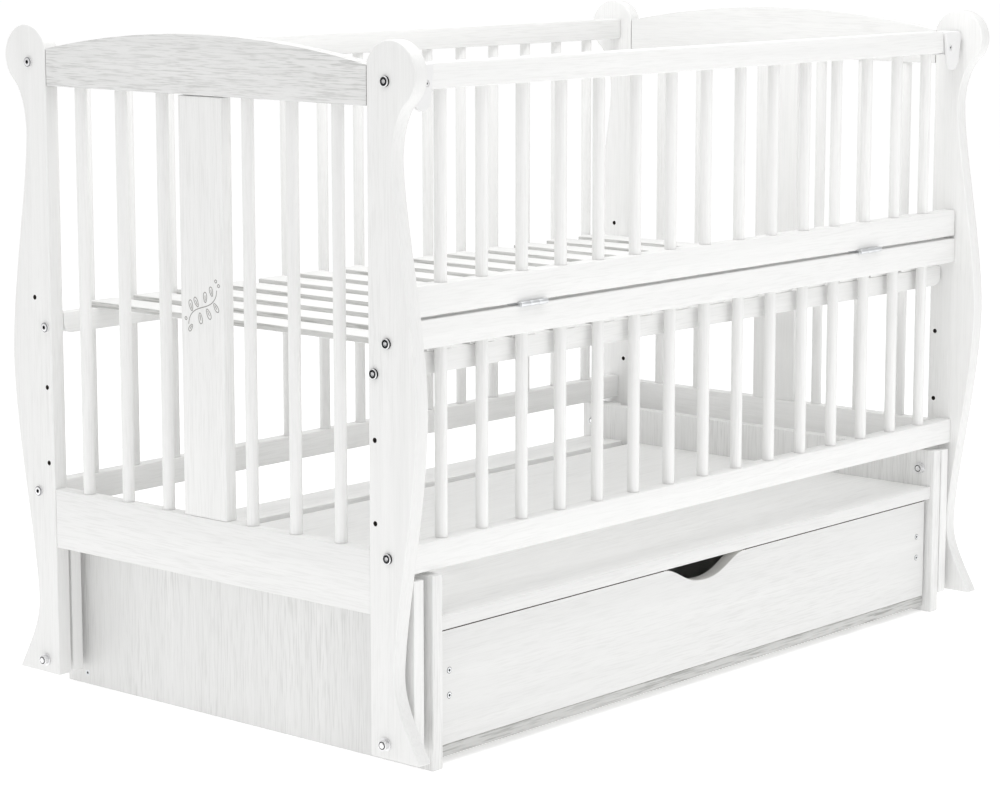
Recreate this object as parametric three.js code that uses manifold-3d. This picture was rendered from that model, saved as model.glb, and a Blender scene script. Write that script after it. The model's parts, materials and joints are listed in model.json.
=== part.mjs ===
// A crib that hangs on four links from a low base with a shelf and a drawer.
// The upper half of its front is a gate that folds outwards and down.
// Millimetres. X runs along the crib, -X is the left end. The front looks towards -Y. +Z is up.
// The origin is on the floor, under the middle of the crib.
import * as THREE from "three";
import { mergeVertices } from "three/addons/utils/BufferGeometryUtils.js";
import Module from "manifold-3d";

const wasm = await Module();
wasm.setup();

// Sleeping space
const mattressLength = 1200;
const mattressWidth = 600;
const mattressEndPlay = 2; // at each end
const mattressSidePlay = 10.5; // at each side

// Legs: boards whose straight edges face each other across an end
const legThickness = 22;
const legEdgeInset = 20.5; // from the inner faces of the sides in to the straight edges
const footHeight = 25; // floor to the soles
const footReach = 81; // straight edge out to the tip of the foot
const ankleHeight = 127;
const ankleReach = 39.5;
const bellyHeight = 455;
const bellyReach = 79;
const neckHeight = 757;
const neckReach = 41.5;
const headHeight = 858;
const headReach = 38.5; // straight edge out to the middle of the round head
const headRadius = 41.5;
const headJoinAngle = 50; // degrees below level, where the neck's curve runs into the head
// How far the leg's curve keeps straight on from each end of a stretch, as a share of that stretch
const footEase = 0.35;
const soleEase = 0.45;
const calfEase = [0.21, 0.32];
const chestEase = [0.3, 0.2];
const throatEase = [0.4, 0.29];

// Front and back sides
const sideRailThickness = 22;
const sideRailHeight = 36;
const sideTopRailHeight = 32; // the back's top rail and the gate's
const sideTop = 870;
const sideBottom = 252;
const sideSpindleCount = 15;
const sideSpindleEndGap = 73.5; // leg to the middle of the outermost spindle
const frontPanelTop = 562;

// Gate
const gateGap = 4; // between the front panel and the gate, where the hinges lie
const gateEndGap = 2; // gate to leg
const gateBottomRailHeight = 38;
const gateCornerRadius = 9;

// Ends
const endRailThickness = 20;
const endBottomRailBottom = 202;
const endBottomRailHeight = 80;
const endTopRailBottom = 820;
const endTopRailEndHeight = 49;
const endArchRise = 27;
const endSpindleGap = 57.5; // straight edge of the leg to the middle of the outermost spindle
const endSpindlesPerSide = 3; // on each side of the centre board
const centreBoardWidth = 78;
const centreBoardThickness = 18;
const endTenonLength = 14;
const endTenonThickness = 10;
const endTenonMargin = 12;
const boardTenonDepth = 9;
const boardTenonThickness = 8;
const boardTenonMargin = 9;
const boardTopGap = 1; // the shadow line above the centre board

// Spindles
const spindleRadius = 8;
const spindleTenonRadius = 5;
const spindleTenonLength = 12;

// Slatted base
const slatCount = 14;
const slatWidth = 45;
const slatThickness = 9;
const slatEndGap = 84.6; // leg to the middle of the outermost slat
const slatRailThickness = 18;
const slatRailHeight = 28;
const slatRailBottom = 490;
const slatRailCornerRadius = 14;
const slatBaseEndGap = 2;
const slatBaseSideGap = 1;
const lowerSlatSettings = [81, 183.5]; // how far the two lower settings lie below the upper one

// Connector bolts, each with a barrel nut across the rail that it holds
const boltRadius = 3;
const boltHeadRadius = 6.5;
const boltHeadHeight = 3.5;
const boltHeadChamfer = 1;
const boltSocketRadius = 2.9;
const boltSocketDepth = 2;
const barrelRadius = 5;
const barrelLength = 14;
const barrelSetback = 27; // from the leg's inner face
const topBoltRise = 12.5; // above the rail's lower edge, as the next three
const panelBoltRise = 12.5;
const bottomBoltRise = 24;
const slatBoltRise = 10;

// Latches at the ends of the gate's top rail
const latchLength = 42; // the gate's top rail to the gate's end
const latchEndGap = 2; // the latch to the gate's end
const latchLeverMargin = 1;
const latchLeverThickness = 5;
const latchLeverLap = 1; // over the rail's end
const latchLeverDrop = 25; // below the rail
const latchFootRadius = 15;
const latchFootReach = 18; // from the rail's end to the middle of the foot
const latchPivotInset = 10.5; // from the rail's end
const latchPivotRise = 8; // above the rail's lower edge
const latchPinRadius = 3;
const latchHubRadius = 4.8;
const latchPawlHeight = 4;
const latchPawlDrop = 0.3; // top of the pawl below the middle of its pin
const latchLipReach = 7;
const latchLipLength = 17;
const latchLipThickness = 2.3;
const latchSpigotRadius = 4;
const latchSpigotLength = 18;
const latchSpigotRise = 22;
const studReach = 10; // the latch stud past the leg's inner face
const studSlotPlay = 1.6;
const pawlPlay = 1; // stud to pawl, when the pawl is up

// Hinges
const hingeSpacing = 744;
const hingeLength = 51;
const hingeLeafThickness = 1.4;
const hingeLeafDepth = 18;
const hingeKnuckleRadius = 3.5;
const hingePinRadius = 1.7;

// Links and pivots
const linkThickness = 18;
const linkWidth = 38;
const linkLength = 175.4; // pivot to pivot
const linkHead = 25; // above the upper pivot
const linkFoot = 19; // below the lower pivot
const linkToLeg = 9;
const linkToPanel = 10;
const pivotInset = 26; // from the legs' straight edges
const lowerPivotRise = 18.6; // above the soles
const pivotBoltRadius = 4;
const pivotHeadRadius = 7;
const pivotHeadHeight = 5;
const pivotNutRadius = 7;
const pivotNutHeight = 6;
const pivotWasherRadius = 8.5;
const pivotWasherThickness = 1.5;
const pivotBoltEnd = 1; // past the nut
const pivotSpacerRadius = 8;

// Base
const panelThickness = 18;
const panelPastPivot = 24; // pivot to the panel's front and back edges
const swingGap = 5; // panel to the rails that pass over it
const shelfTop = 192;
const shelfThickness = 18;
const shelfSetback = 5; // from the panels' front edges
const shelfSlotWidth = 26; // between the shelf and the rear rail
const rearRailWidth = 76;
const rearRailSetback = 6;
const stretcherBottom = 8.5;
const stretcherThickness = 15;
const stretcherWidth = 60;
const stretcherSetback = 15;
const rearStretcherInset = 10;

// Drawer
const drawerFrontSetback = 12;
const drawerFrontThickness = 18;
const drawerSideGap = 4.5;
const drawerTopGap = 2.5;
const drawerBottomGap = 1.5;
const drawerBoardThickness = 16;
const drawerSideInset = 17; // panel to the drawer's side
const drawerSideHeight = 117;
const drawerBackSetback = 5; // from the shelf's rear edge, so that the back lies under the slot
const drawerFloorThickness = 4;
const drawerFloorRise = 9; // above the sides' lower edges
const drawerGroove = 5;
const runnerHeight = 18;
const runnerOverlap = 15; // under the drawer's side
const cutOutHalfWidth = 97;
const cutOutDepth = 27;
const cutOutEase = [0.4, 0.5]; // as for the leg's curve, at the wave's ends and at its lowest point

// Clearances
const fit = 0.3; // a piece in the hole or groove that holds it
const turningFit = 0.4; // a pin in the hole that turns on it
const overlap = 1; // of a cut past the face that it opens, and of one part of a piece into the next

// Facets round a circle
const boltFacets = 8;
const spindleFacets = 10;
const tenonFacets = 6;

// Places that follow from the sizes
const legInnerX = mattressLength / 2 + mattressEndPlay;
const legOuterX = legInnerX + legThickness;
const sideInnerY = mattressWidth / 2 + mattressSidePlay;
const sideY = sideInnerY + sideRailThickness / 2;
const legEdgeY = sideInnerY - legEdgeInset;
const endX = (legInnerX + legOuterX) / 2;
const sideTopRailBottom = sideTop - sideTopRailHeight;
const sideBottomRailTop = sideBottom + sideRailHeight;
const frontPanelTopRailBottom = frontPanelTop - sideRailHeight;
const gateBottom = frontPanelTop + gateGap;
const gateBottomRailTop = gateBottom + gateBottomRailHeight;
const gateHalfLength = legInnerX - gateEndGap;
const gateTopRailHalfLength = gateHalfLength - latchLength;
const endBottomRailTop = endBottomRailBottom + endBottomRailHeight;
const slatRailTop = slatRailBottom + slatRailHeight;
const slatBaseHalfWidth = sideInnerY - slatBaseSideGap;
const slatRailY = slatBaseHalfWidth - slatRailThickness / 2;
const slatBaseHalfLength = legInnerX - slatBaseEndGap;
const barrelX = legInnerX - barrelSetback;
const topBoltZ = sideTopRailBottom + topBoltRise;
const panelBoltZ = frontPanelTopRailBottom + panelBoltRise;
const bottomBoltZ = sideBottom + bottomBoltRise;
const slatBoltZ = slatRailBottom + slatBoltRise;
const linkOuterX = legInnerX - linkToLeg;
const linkInnerX = linkOuterX - linkThickness;
const panelOuterX = linkInnerX - linkToPanel;
const panelInnerX = panelOuterX - panelThickness;
const pivotY = legEdgeY + pivotInset;
const lowerPivotZ = footHeight + lowerPivotRise;
const upperPivotZ = lowerPivotZ + linkLength;
const panelTop = sideBottom - swingGap;
const panelHalfDepth = pivotY + panelPastPivot;
const shelfBottom = shelfTop - shelfThickness;
const rearRailEnd = panelHalfDepth - rearRailSetback;
const rearRailStart = rearRailEnd - rearRailWidth;
const shelfEnd = rearRailStart - shelfSlotWidth;
const stretcherTop = stretcherBottom + stretcherThickness;
const drawerFrontY = panelHalfDepth - drawerFrontSetback;
const drawerFrontBackY = drawerFrontY - drawerFrontThickness;
const drawerFrontBottom = stretcherTop + drawerBottomGap;
const drawerFrontTop = shelfBottom - drawerTopGap;
const drawerSideOuterX = panelInnerX - drawerSideInset;
const drawerSideInnerX = drawerSideOuterX - drawerBoardThickness;
const runnerTop = drawerFrontBottom + runnerHeight;
const drawerSideBottom = runnerTop + fit;
const drawerSideTop = drawerSideBottom + drawerSideHeight;
const drawerBackStart = shelfEnd + drawerBackSetback;
const drawerBackEnd = drawerBackStart + drawerBoardThickness;
const hingeY = sideY + sideRailThickness / 2 + fit + hingeKnuckleRadius;
const hingeZ = frontPanelTop + gateGap / 2;

const ends = [
  { name: "left", side: -1 },
  { name: "right", side: 1 },
];
const fronts = [
  { name: "front", facing: -1 },
  { name: "back", facing: 1 },
];

// Finishes
const paintedWood = { color: 0xf3f3f1, roughness: 0.5, metalness: 0 };
const zincedSteel = { color: 0xb4b7ba, roughness: 0.35, metalness: 0.9 };
const whitePlastic = { color: 0xf7f7f6, roughness: 0.3, metalness: 0 };
const whiteFibreboard = { color: 0xececea, roughness: 0.6, metalness: 0 };

// A geometry as a closed solid, without the slivers that a lathe leaves on its axis
function solidOf(geometry) {
  geometry.deleteAttribute("normal");
  geometry.deleteAttribute("uv");
  const merged = mergeVertices(geometry, 1e-4);
  const corners = merged.index.array;
  const kept = [];
  for (let i = 0; i < corners.length; i += 3) {
    const [a, b, c] = [corners[i], corners[i + 1], corners[i + 2]];
    if (a !== b && b !== c && c !== a) kept.push(a, b, c);
  }
  return new wasm.Manifold(
    new wasm.Mesh({
      numProp: 3,
      vertProperties: merged.attributes.position.array,
      triVerts: new Uint32Array(kept),
    }),
  );
}

const join = (first, ...others) => others.reduce((all, one) => all.add(one), first);
const cut = (body, ...tools) => tools.reduce((left, tool) => left.subtract(tool), body);

// A box between pairs of coordinates, in either order
function block([x0, x1], [y0, y1], [z0, z1]) {
  const geometry = new THREE.BoxGeometry(Math.abs(x1 - x0), Math.abs(y1 - y0), Math.abs(z1 - z0));
  return solidOf(geometry.translate((x0 + x1) / 2, (y0 + y1) / 2, (z0 + z1) / 2));
}

// Round bars along each axis, from one coordinate to the other
function barAlongZ(radius, [x, y], [z0, z1], facets) {
  const geometry = new THREE.CylinderGeometry(radius, radius, Math.abs(z1 - z0), facets);
  return solidOf(geometry.rotateX(Math.PI / 2).translate(x, y, (z0 + z1) / 2));
}

function barAlongX(radius, [x0, x1], [y, z], facets = boltFacets) {
  const geometry = new THREE.CylinderGeometry(radius, radius, Math.abs(x1 - x0), facets);
  return solidOf(geometry.rotateZ(Math.PI / 2).translate((x0 + x1) / 2, y, z));
}

function barAlongY(radius, [y0, y1], [x, z], facets = boltFacets) {
  const geometry = new THREE.CylinderGeometry(radius, radius, Math.abs(y1 - y0), facets);
  return solidOf(geometry.translate(x, (y0 + y1) / 2, z));
}

// A turned piece along X. Its profile lists the distance from the middle of the crib and the radius.
function turnedAlongX(side, profile, [y, z]) {
  const points = profile.map(([x, radius]) => new THREE.Vector2(radius, x));
  const geometry = new THREE.LatheGeometry(points, boltFacets);
  return solidOf(geometry.rotateZ((-side * Math.PI) / 2).translate(0, y, z));
}

// A board with an outline in Y and Z, from x0 to x1
function boardAcrossX(outline, x0, x1, curveSegments = 10) {
  const depth = Math.abs(x1 - x0);
  const geometry = new THREE.ExtrudeGeometry(outline, { depth, bevelEnabled: false, curveSegments });
  const turn = new THREE.Matrix4().makeBasis(
    new THREE.Vector3(0, 1, 0),
    new THREE.Vector3(0, 0, 1),
    new THREE.Vector3(1, 0, 0),
  );
  return solidOf(geometry.applyMatrix4(turn).translate(Math.min(x0, x1), 0, 0));
}

// A board with an outline in X and Z, from y0 to y1
function boardAcrossY(outline, y0, y1, curveSegments = 6) {
  const depth = Math.abs(y1 - y0);
  const geometry = new THREE.ExtrudeGeometry(outline, { depth, bevelEnabled: false, curveSegments });
  return solidOf(geometry.rotateX(Math.PI / 2).translate(0, Math.max(y0, y1), 0));
}

const crib = new THREE.Group();

function add(name, solid, finish) {
  const { vertProperties, triVerts } = solid.getMesh();
  const geometry = new THREE.BufferGeometry();
  geometry.setAttribute("position", new THREE.BufferAttribute(new Float32Array(vertProperties), 3));
  geometry.setIndex(new THREE.BufferAttribute(new Uint32Array(triVerts), 1));
  const mesh = new THREE.Mesh(geometry.toNonIndexed(), new THREE.MeshStandardMaterial(finish));
  mesh.geometry.computeVertexNormals();
  mesh.name = name;
  crib.add(mesh);
}

// The same number of places on each side of the middle, evenly spaced out to the last one
function evenly(count, last) {
  return Array.from({ length: count }, (_, i) => -last + (2 * last * i) / (count - 1));
}

const sideSpindleXs = evenly(sideSpindleCount, legInnerX - sideSpindleEndGap);
const endSpindleYs = evenly(2 * endSpindlesPerSide + 1, legEdgeY - endSpindleGap).filter(
  (_, i) => i !== endSpindlesPerSide,
);

// A spindle from inside the lower rail up to its shoulder, with the tenon above it
function spindle(x, y, railTop, shoulder) {
  const body = barAlongZ(spindleRadius, [x, y], [railTop - spindleTenonRadius, shoulder], spindleFacets);
  const tenonTop = shoulder + spindleTenonLength;
  return join(body, barAlongZ(spindleTenonRadius, [x, y], [shoulder - overlap, tenonTop], tenonFacets));
}

function spindleSocket(x, y, railBottom) {
  const depth = spindleTenonLength + fit;
  const radius = spindleTenonRadius + fit;
  return barAlongZ(radius, [x, y], [railBottom - overlap, railBottom + depth], tenonFacets);
}

// The hole that a connector bolt and its barrel nut need in the end of a rail
function boltHoles(y, z, railBottom) {
  return ends.flatMap(({ side }) => [
    barAlongX(boltRadius + fit, [side * barrelX, side * (legInnerX + overlap)], [y, z]),
    barAlongZ(
      barrelRadius + fit,
      [side * barrelX, y],
      [railBottom - overlap, z + barrelLength / 2 + fit],
      boltFacets,
    ),
  ]);
}

// Legs

function legOutline() {
  const outline = new THREE.Shape();
  const joinAngle = (headJoinAngle * Math.PI) / 180;
  const joinReach = headReach + headRadius * Math.cos(joinAngle);
  const joinHeight = headHeight - headRadius * Math.sin(joinAngle);
  const foot = ankleHeight - footHeight;
  const calf = bellyHeight - ankleHeight;
  const chest = neckHeight - bellyHeight;
  const throat = joinHeight - neckHeight;
  outline.moveTo(0, footHeight);
  outline.lineTo(footReach, footHeight);
  outline.bezierCurveTo(
    footReach - (footReach - ankleReach) * soleEase,
    footHeight + foot * footEase,
    ankleReach,
    ankleHeight - foot * footEase,
    ankleReach,
    ankleHeight,
  );
  outline.bezierCurveTo(
    ankleReach,
    ankleHeight + calf * calfEase[0],
    bellyReach,
    bellyHeight - calf * calfEase[1],
    bellyReach,
    bellyHeight,
  );
  outline.bezierCurveTo(
    bellyReach,
    bellyHeight + chest * chestEase[0],
    neckReach,
    neckHeight - chest * chestEase[1],
    neckReach,
    neckHeight,
  );
  outline.bezierCurveTo(
    neckReach,
    neckHeight + throat * throatEase[0],
    joinReach - throat * throatEase[1] * Math.sin(joinAngle),
    joinHeight - throat * throatEase[1] * Math.cos(joinAngle),
    joinReach,
    joinHeight,
  );
  const headEnd = Math.acos(-headReach / headRadius);
  outline.absarc(headReach, headHeight, headRadius, -joinAngle, headEnd, false);
  outline.closePath();
  return outline.getPoints(8);
}

// The tenon of an end rail, grown by a gap when it is the cut for one
function endTenon(side, facing, bottom, top, gap) {
  const halfThickness = endTenonThickness / 2 + gap;
  return block(
    [side * endX - halfThickness, side * endX + halfThickness],
    [facing * (legEdgeY - overlap), facing * (legEdgeY + endTenonLength + gap)],
    [bottom + endTenonMargin - gap, top - endTenonMargin + gap],
  );
}

function leg(side, facing) {
  const points = legOutline().map(({ x, y }) => new THREE.Vector2(facing * (legEdgeY + x), y));
  const board = boardAcrossX(new THREE.Shape(points), side * legInnerX, side * legOuterX);
  const through = [side * (legInnerX - overlap), side * (legOuterX + overlap)];
  const boltHole = (y, z) => barAlongX(boltRadius + fit, through, [facing * y, z]);
  return cut(
    board,
    boltHole(sideY, topBoltZ),
    boltHole(sideY, panelBoltZ),
    boltHole(sideY, bottomBoltZ),
    boltHole(slatRailY, slatBoltZ),
    ...lowerSlatSettings.map((drop) => boltHole(slatRailY, slatBoltZ - drop)),
    barAlongX(pivotBoltRadius + fit, through, [facing * pivotY, lowerPivotZ]),
    endTenon(side, facing, endBottomRailBottom, endBottomRailTop, fit),
    endTenon(side, facing, endTopRailBottom, endTopRailBottom + endTopRailEndHeight, fit),
  );
}

for (const end of ends) {
  for (const front of fronts) {
    add(`leg_${front.name}_${end.name}`, leg(end.side, front.facing), paintedWood);
  }
}

// Ends

// The tongue of a centre board, grown by a gap when it is the cut for one
function boardTongue(side, z0, z1, gap) {
  const halfThickness = boardTenonThickness / 2 + gap;
  const halfWidth = centreBoardWidth / 2 - boardTenonMargin + gap;
  return block(
    [side * endX - halfThickness, side * endX + halfThickness],
    [-halfWidth, halfWidth],
    [z0, z1],
  );
}

function endTopRail(side) {
  const endTop = endTopRailBottom + endTopRailEndHeight;
  const archRadius = (legEdgeY ** 2 + endArchRise ** 2) / (2 * endArchRise);
  const archAngle = Math.asin(legEdgeY / archRadius);
  const outline = new THREE.Shape();
  outline.moveTo(-legEdgeY, endTopRailBottom);
  outline.lineTo(legEdgeY, endTopRailBottom);
  outline.lineTo(legEdgeY, endTop);
  outline.absarc(
    0,
    endTop + endArchRise - archRadius,
    archRadius,
    Math.PI / 2 - archAngle,
    Math.PI / 2 + archAngle,
    false,
  );
  outline.closePath();
  const faces = [side * (endX - endRailThickness / 2), side * (endX + endRailThickness / 2)];
  const tenons = fronts.map(({ facing }) => endTenon(side, facing, endTopRailBottom, endTop, 0));
  return cut(
    join(boardAcrossX(outline, ...faces), ...tenons),
    ...endSpindleYs.map((y) => spindleSocket(side * endX, y, endTopRailBottom)),
    boardTongue(side, endTopRailBottom - overlap, endTopRailBottom + boardTenonDepth + fit, fit),
  );
}

function endBottomRail(side) {
  const rail = block(
    [side * (endX - endRailThickness / 2), side * (endX + endRailThickness / 2)],
    [-legEdgeY, legEdgeY],
    [endBottomRailBottom, endBottomRailTop],
  );
  const tenons = fronts.map(({ facing }) =>
    endTenon(side, facing, endBottomRailBottom, endBottomRailTop, 0),
  );
  const spindles = endSpindleYs.map((y) => spindle(side * endX, y, endBottomRailTop, endTopRailBottom));
  return cut(
    join(rail, ...tenons, ...spindles),
    boardTongue(side, endBottomRailTop - boardTenonDepth - fit, endBottomRailTop + overlap, fit),
  );
}

function centreBoard(side) {
  const board = block(
    [side * (endX - centreBoardThickness / 2), side * (endX + centreBoardThickness / 2)],
    [-centreBoardWidth / 2, centreBoardWidth / 2],
    [endBottomRailTop, endTopRailBottom - boardTopGap],
  );
  const tongue = boardTongue(
    side,
    endBottomRailTop - boardTenonDepth,
    endTopRailBottom + boardTenonDepth,
    0,
  );
  return join(board, tongue);
}

for (const { name, side } of ends) {
  add(`end_top_rail_${name}`, endTopRail(side), paintedWood);
  add(`end_bottom_rail_with_spindles_${name}`, endBottomRail(side), paintedWood);
  add(`centre_board_${name}`, centreBoard(side), paintedWood);
}

// Front and back sides

function sideRail(facing, halfLength, bottom, top) {
  const y = facing * sideY;
  const halfThickness = sideRailThickness / 2;
  return block([-halfLength, halfLength], [y - halfThickness, y + halfThickness], [bottom, top]);
}

const sideSockets = (facing, railBottom) =>
  sideSpindleXs.map((x) => spindleSocket(x, facing * sideY, railBottom));
const sideSpindles = (facing, railTop, shoulder) =>
  sideSpindleXs.map((x) => spindle(x, facing * sideY, railTop, shoulder));

const backTopRail = cut(
  sideRail(1, legInnerX, sideTopRailBottom, sideTop),
  ...sideSockets(1, sideTopRailBottom),
  ...boltHoles(sideY, topBoltZ, sideTopRailBottom),
);
const backBottomRail = cut(
  join(
    sideRail(1, legInnerX, sideBottom, sideBottomRailTop),
    ...sideSpindles(1, sideBottomRailTop, sideTopRailBottom),
  ),
  ...boltHoles(sideY, bottomBoltZ, sideBottom),
);
const panelTopRail = cut(
  sideRail(-1, legInnerX, frontPanelTopRailBottom, frontPanelTop),
  ...sideSockets(-1, frontPanelTopRailBottom),
  ...boltHoles(-sideY, panelBoltZ, frontPanelTopRailBottom),
);
const panelBottomRail = cut(
  join(
    sideRail(-1, legInnerX, sideBottom, sideBottomRailTop),
    ...sideSpindles(-1, sideBottomRailTop, frontPanelTopRailBottom),
  ),
  ...boltHoles(-sideY, bottomBoltZ, sideBottom),
);
add("back_top_rail", backTopRail, paintedWood);
add("back_bottom_rail_with_spindles", backBottomRail, paintedWood);
add("front_panel_top_rail", panelTopRail, paintedWood);
add("front_panel_bottom_rail_with_spindles", panelBottomRail, paintedWood);

// Slatted base

function slatSideRail(facing) {
  const outline = new THREE.Shape();
  const corner = slatRailCornerRadius;
  outline.moveTo(-slatBaseHalfLength, slatRailTop);
  outline.lineTo(-slatBaseHalfLength, slatRailBottom + corner);
  outline.absarc(
    -slatBaseHalfLength + corner,
    slatRailBottom + corner,
    corner,
    Math.PI,
    1.5 * Math.PI,
    false,
  );
  outline.absarc(
    slatBaseHalfLength - corner,
    slatRailBottom + corner,
    corner,
    1.5 * Math.PI,
    2 * Math.PI,
    false,
  );
  outline.lineTo(slatBaseHalfLength, slatRailTop);
  outline.closePath();
  const y = facing * slatRailY;
  return boardAcrossY(outline, y - slatRailThickness / 2, y + slatRailThickness / 2, 3);
}

const slats = evenly(slatCount, legInnerX - slatEndGap).map((x) =>
  block(
    [x - slatWidth / 2, x + slatWidth / 2],
    [-slatBaseHalfWidth, slatBaseHalfWidth],
    [slatRailTop, slatRailTop + slatThickness],
  ),
);
// The slats are stapled down, so the base is one solid
const slatBase = cut(
  join(...fronts.map(({ facing }) => slatSideRail(facing)), ...slats),
  ...fronts.flatMap(({ facing }) => boltHoles(facing * slatRailY, slatBoltZ, slatRailBottom)),
);
add("slatted_base", slatBase, paintedWood);

// Connector bolts

function bolt(side, y, z, tipX) {
  const headTop = legOuterX + boltHeadHeight;
  const profile = [
    [tipX, 0],
    [tipX, boltRadius],
    [legOuterX, boltRadius],
    [legOuterX, boltHeadRadius],
    [headTop - boltHeadChamfer, boltHeadRadius],
    [headTop, boltHeadRadius - boltHeadChamfer],
    [headTop, 0],
  ];
  const socket = [side * (headTop - boltSocketDepth), side * (headTop + overlap)];
  return cut(turnedAlongX(side, profile, [y, z]), barAlongX(boltSocketRadius, socket, [y, z], 6));
}

function railBolt(side, y, z) {
  const barrel = barAlongZ(
    barrelRadius,
    [side * barrelX, y],
    [z - barrelLength / 2, z + barrelLength / 2],
    boltFacets,
  );
  return join(bolt(side, y, z, barrelX), barrel);
}

for (const { name, side } of ends) {
  add(`latch_stud_${name}`, bolt(side, -sideY, topBoltZ, legInnerX - studReach), zincedSteel);
  add(`top_bolt_back_${name}`, railBolt(side, sideY, topBoltZ), zincedSteel);
  add(`panel_bolt_front_${name}`, railBolt(side, -sideY, panelBoltZ), zincedSteel);
  for (const front of fronts) {
    const place = `${front.name}_${name}`;
    add(`slat_bolt_${place}`, railBolt(side, front.facing * slatRailY, slatBoltZ), zincedSteel);
    add(`bottom_bolt_${place}`, railBolt(side, front.facing * sideY, bottomBoltZ), zincedSteel);
  }
}

// Gate

function gateTopRail() {
  const outline = new THREE.Shape();
  const corner = gateCornerRadius;
  outline.moveTo(-gateTopRailHalfLength, sideTopRailBottom);
  outline.lineTo(gateTopRailHalfLength, sideTopRailBottom);
  outline.lineTo(gateTopRailHalfLength, sideTop - corner);
  outline.absarc(gateTopRailHalfLength - corner, sideTop - corner, corner, 0, Math.PI / 2, false);
  outline.absarc(
    -gateTopRailHalfLength + corner,
    sideTop - corner,
    corner,
    Math.PI / 2,
    Math.PI,
    false,
  );
  outline.closePath();
  const rail = boardAcrossY(outline, -sideY - sideRailThickness / 2, -sideY + sideRailThickness / 2, 4);
  const spigotHoles = ends.map(({ side }) => latchSpigot(side, fit));
  return cut(rail, ...sideSockets(-1, sideTopRailBottom), ...spigotHoles);
}

// The spigot that holds a latch in the end of the rail, grown by a gap when it is the hole for one
function latchSpigot(side, gap) {
  return barAlongX(
    latchSpigotRadius + gap,
    [side * (gateTopRailHalfLength - latchSpigotLength - gap), side * (gateTopRailHalfLength + overlap)],
    [-sideY, sideTopRailBottom + latchSpigotRise],
  );
}

const gateBottomRail = join(
  sideRail(-1, gateHalfLength, gateBottom, gateBottomRailTop),
  ...sideSpindles(-1, gateBottomRailTop, sideTopRailBottom),
);
add("gate_top_rail", gateTopRail(), paintedWood);
add("gate_bottom_rail_with_spindles", gateBottomRail, paintedWood);

// Latches. A pawl on the lever's pin comes up behind the stud in the leg and keeps the gate shut.
// The lever is drawn with its pawl just below the stud's path, so that the gate is free to open.

const latchPivotX = gateTopRailHalfLength + latchPivotInset;
const latchPivotZ = sideTopRailBottom + latchPivotRise;
const latchOuterX = gateHalfLength - latchEndGap;
const latchFrontY = -sideY - sideRailThickness / 2;
const latchRearY = -sideY + sideRailThickness / 2;
const pawlFrontY = -sideY + boltRadius + pawlPlay;

function latchHousing(side) {
  const innerX = gateTopRailHalfLength + fit;
  const body = block(
    [side * innerX, side * latchOuterX],
    [latchFrontY, latchRearY],
    [sideTopRailBottom, sideTop - latchLeverMargin],
  );
  const lip = block(
    [
      side * (gateTopRailHalfLength - latchLipReach),
      side * (gateTopRailHalfLength - latchLipReach + latchLipLength),
    ],
    [latchFrontY, pawlFrontY - fit],
    [sideTopRailBottom - fit - latchLipThickness, sideTopRailBottom - fit],
  );
  const lipRoot = block(
    [side * innerX, side * (gateTopRailHalfLength - latchLipReach + latchLipLength)],
    [latchFrontY, pawlFrontY - fit],
    [sideTopRailBottom - fit - overlap, sideTopRailBottom + overlap],
  );
  const slotHalfHeight = boltRadius + studSlotPlay;
  const studSlot = block(
    [side * (legInnerX - studReach - studSlotPlay), side * (latchOuterX + overlap)],
    [-sideY - slotHalfHeight, latchRearY + overlap],
    [topBoltZ - slotHalfHeight, topBoltZ + slotHalfHeight],
  );
  const pawlPocket = block(
    [side * (latchPivotX - latchHubRadius - overlap), side * (latchOuterX + overlap)],
    [pawlFrontY - fit, latchRearY + overlap],
    [sideTopRailBottom - overlap, latchPivotZ + latchHubRadius + fit],
  );
  const pinHole = barAlongY(
    latchPinRadius + turningFit,
    [latchFrontY - overlap, latchRearY],
    [side * latchPivotX, latchPivotZ],
  );
  return cut(join(body, lip, lipRoot, latchSpigot(side, 0)), studSlot, pawlPocket, pinHole);
}

function latchLever(side) {
  const innerX = gateTopRailHalfLength - latchLeverLap;
  const outerX = latchOuterX - latchLeverMargin;
  const footX = gateTopRailHalfLength + latchFootReach;
  const footZ = sideTopRailBottom - latchLeverDrop + latchFootRadius;
  const corner = gateCornerRadius;
  const top = sideTop - latchLeverMargin;
  // Where round the foot a straight edge that comes down from a point runs into it
  const touch = (x, z, turn) =>
    Math.atan2(z - footZ, x - footX) +
    turn * Math.acos(latchFootRadius / Math.hypot(x - footX, z - footZ));
  const mirrored = (angle) => (side > 0 ? angle : Math.PI - angle);
  const outline = new THREE.Shape();
  outline.moveTo(side * outerX, top - corner);
  outline.absarc(
    side * (outerX - corner),
    top - corner,
    corner,
    mirrored(0),
    Math.PI / 2,
    side < 0,
  );
  outline.lineTo(side * innerX, top);
  outline.absarc(
    side * footX,
    footZ,
    latchFootRadius,
    mirrored(touch(innerX, top, 1)),
    mirrored(touch(outerX, top - corner, -1) + 2 * Math.PI),
    side < 0,
  );
  outline.closePath();
  const backY = latchFrontY - fit;
  const plate = boardAcrossY(outline, backY - latchLeverThickness, backY, 8);
  const centre = [side * latchPivotX, latchPivotZ];
  const pawlTop = latchPivotZ - latchPawlDrop;
  const pawlRearY = latchRearY - fit;
  const pawl = block(
    [side * latchPivotX, side * outerX],
    [pawlFrontY, pawlRearY],
    [pawlTop - latchPawlHeight, pawlTop],
  );
  return join(
    plate,
    barAlongY(latchPinRadius, [backY - overlap, pawlRearY], centre),
    barAlongY(latchHubRadius, [pawlFrontY, pawlRearY], centre),
    pawl,
  );
}

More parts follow.
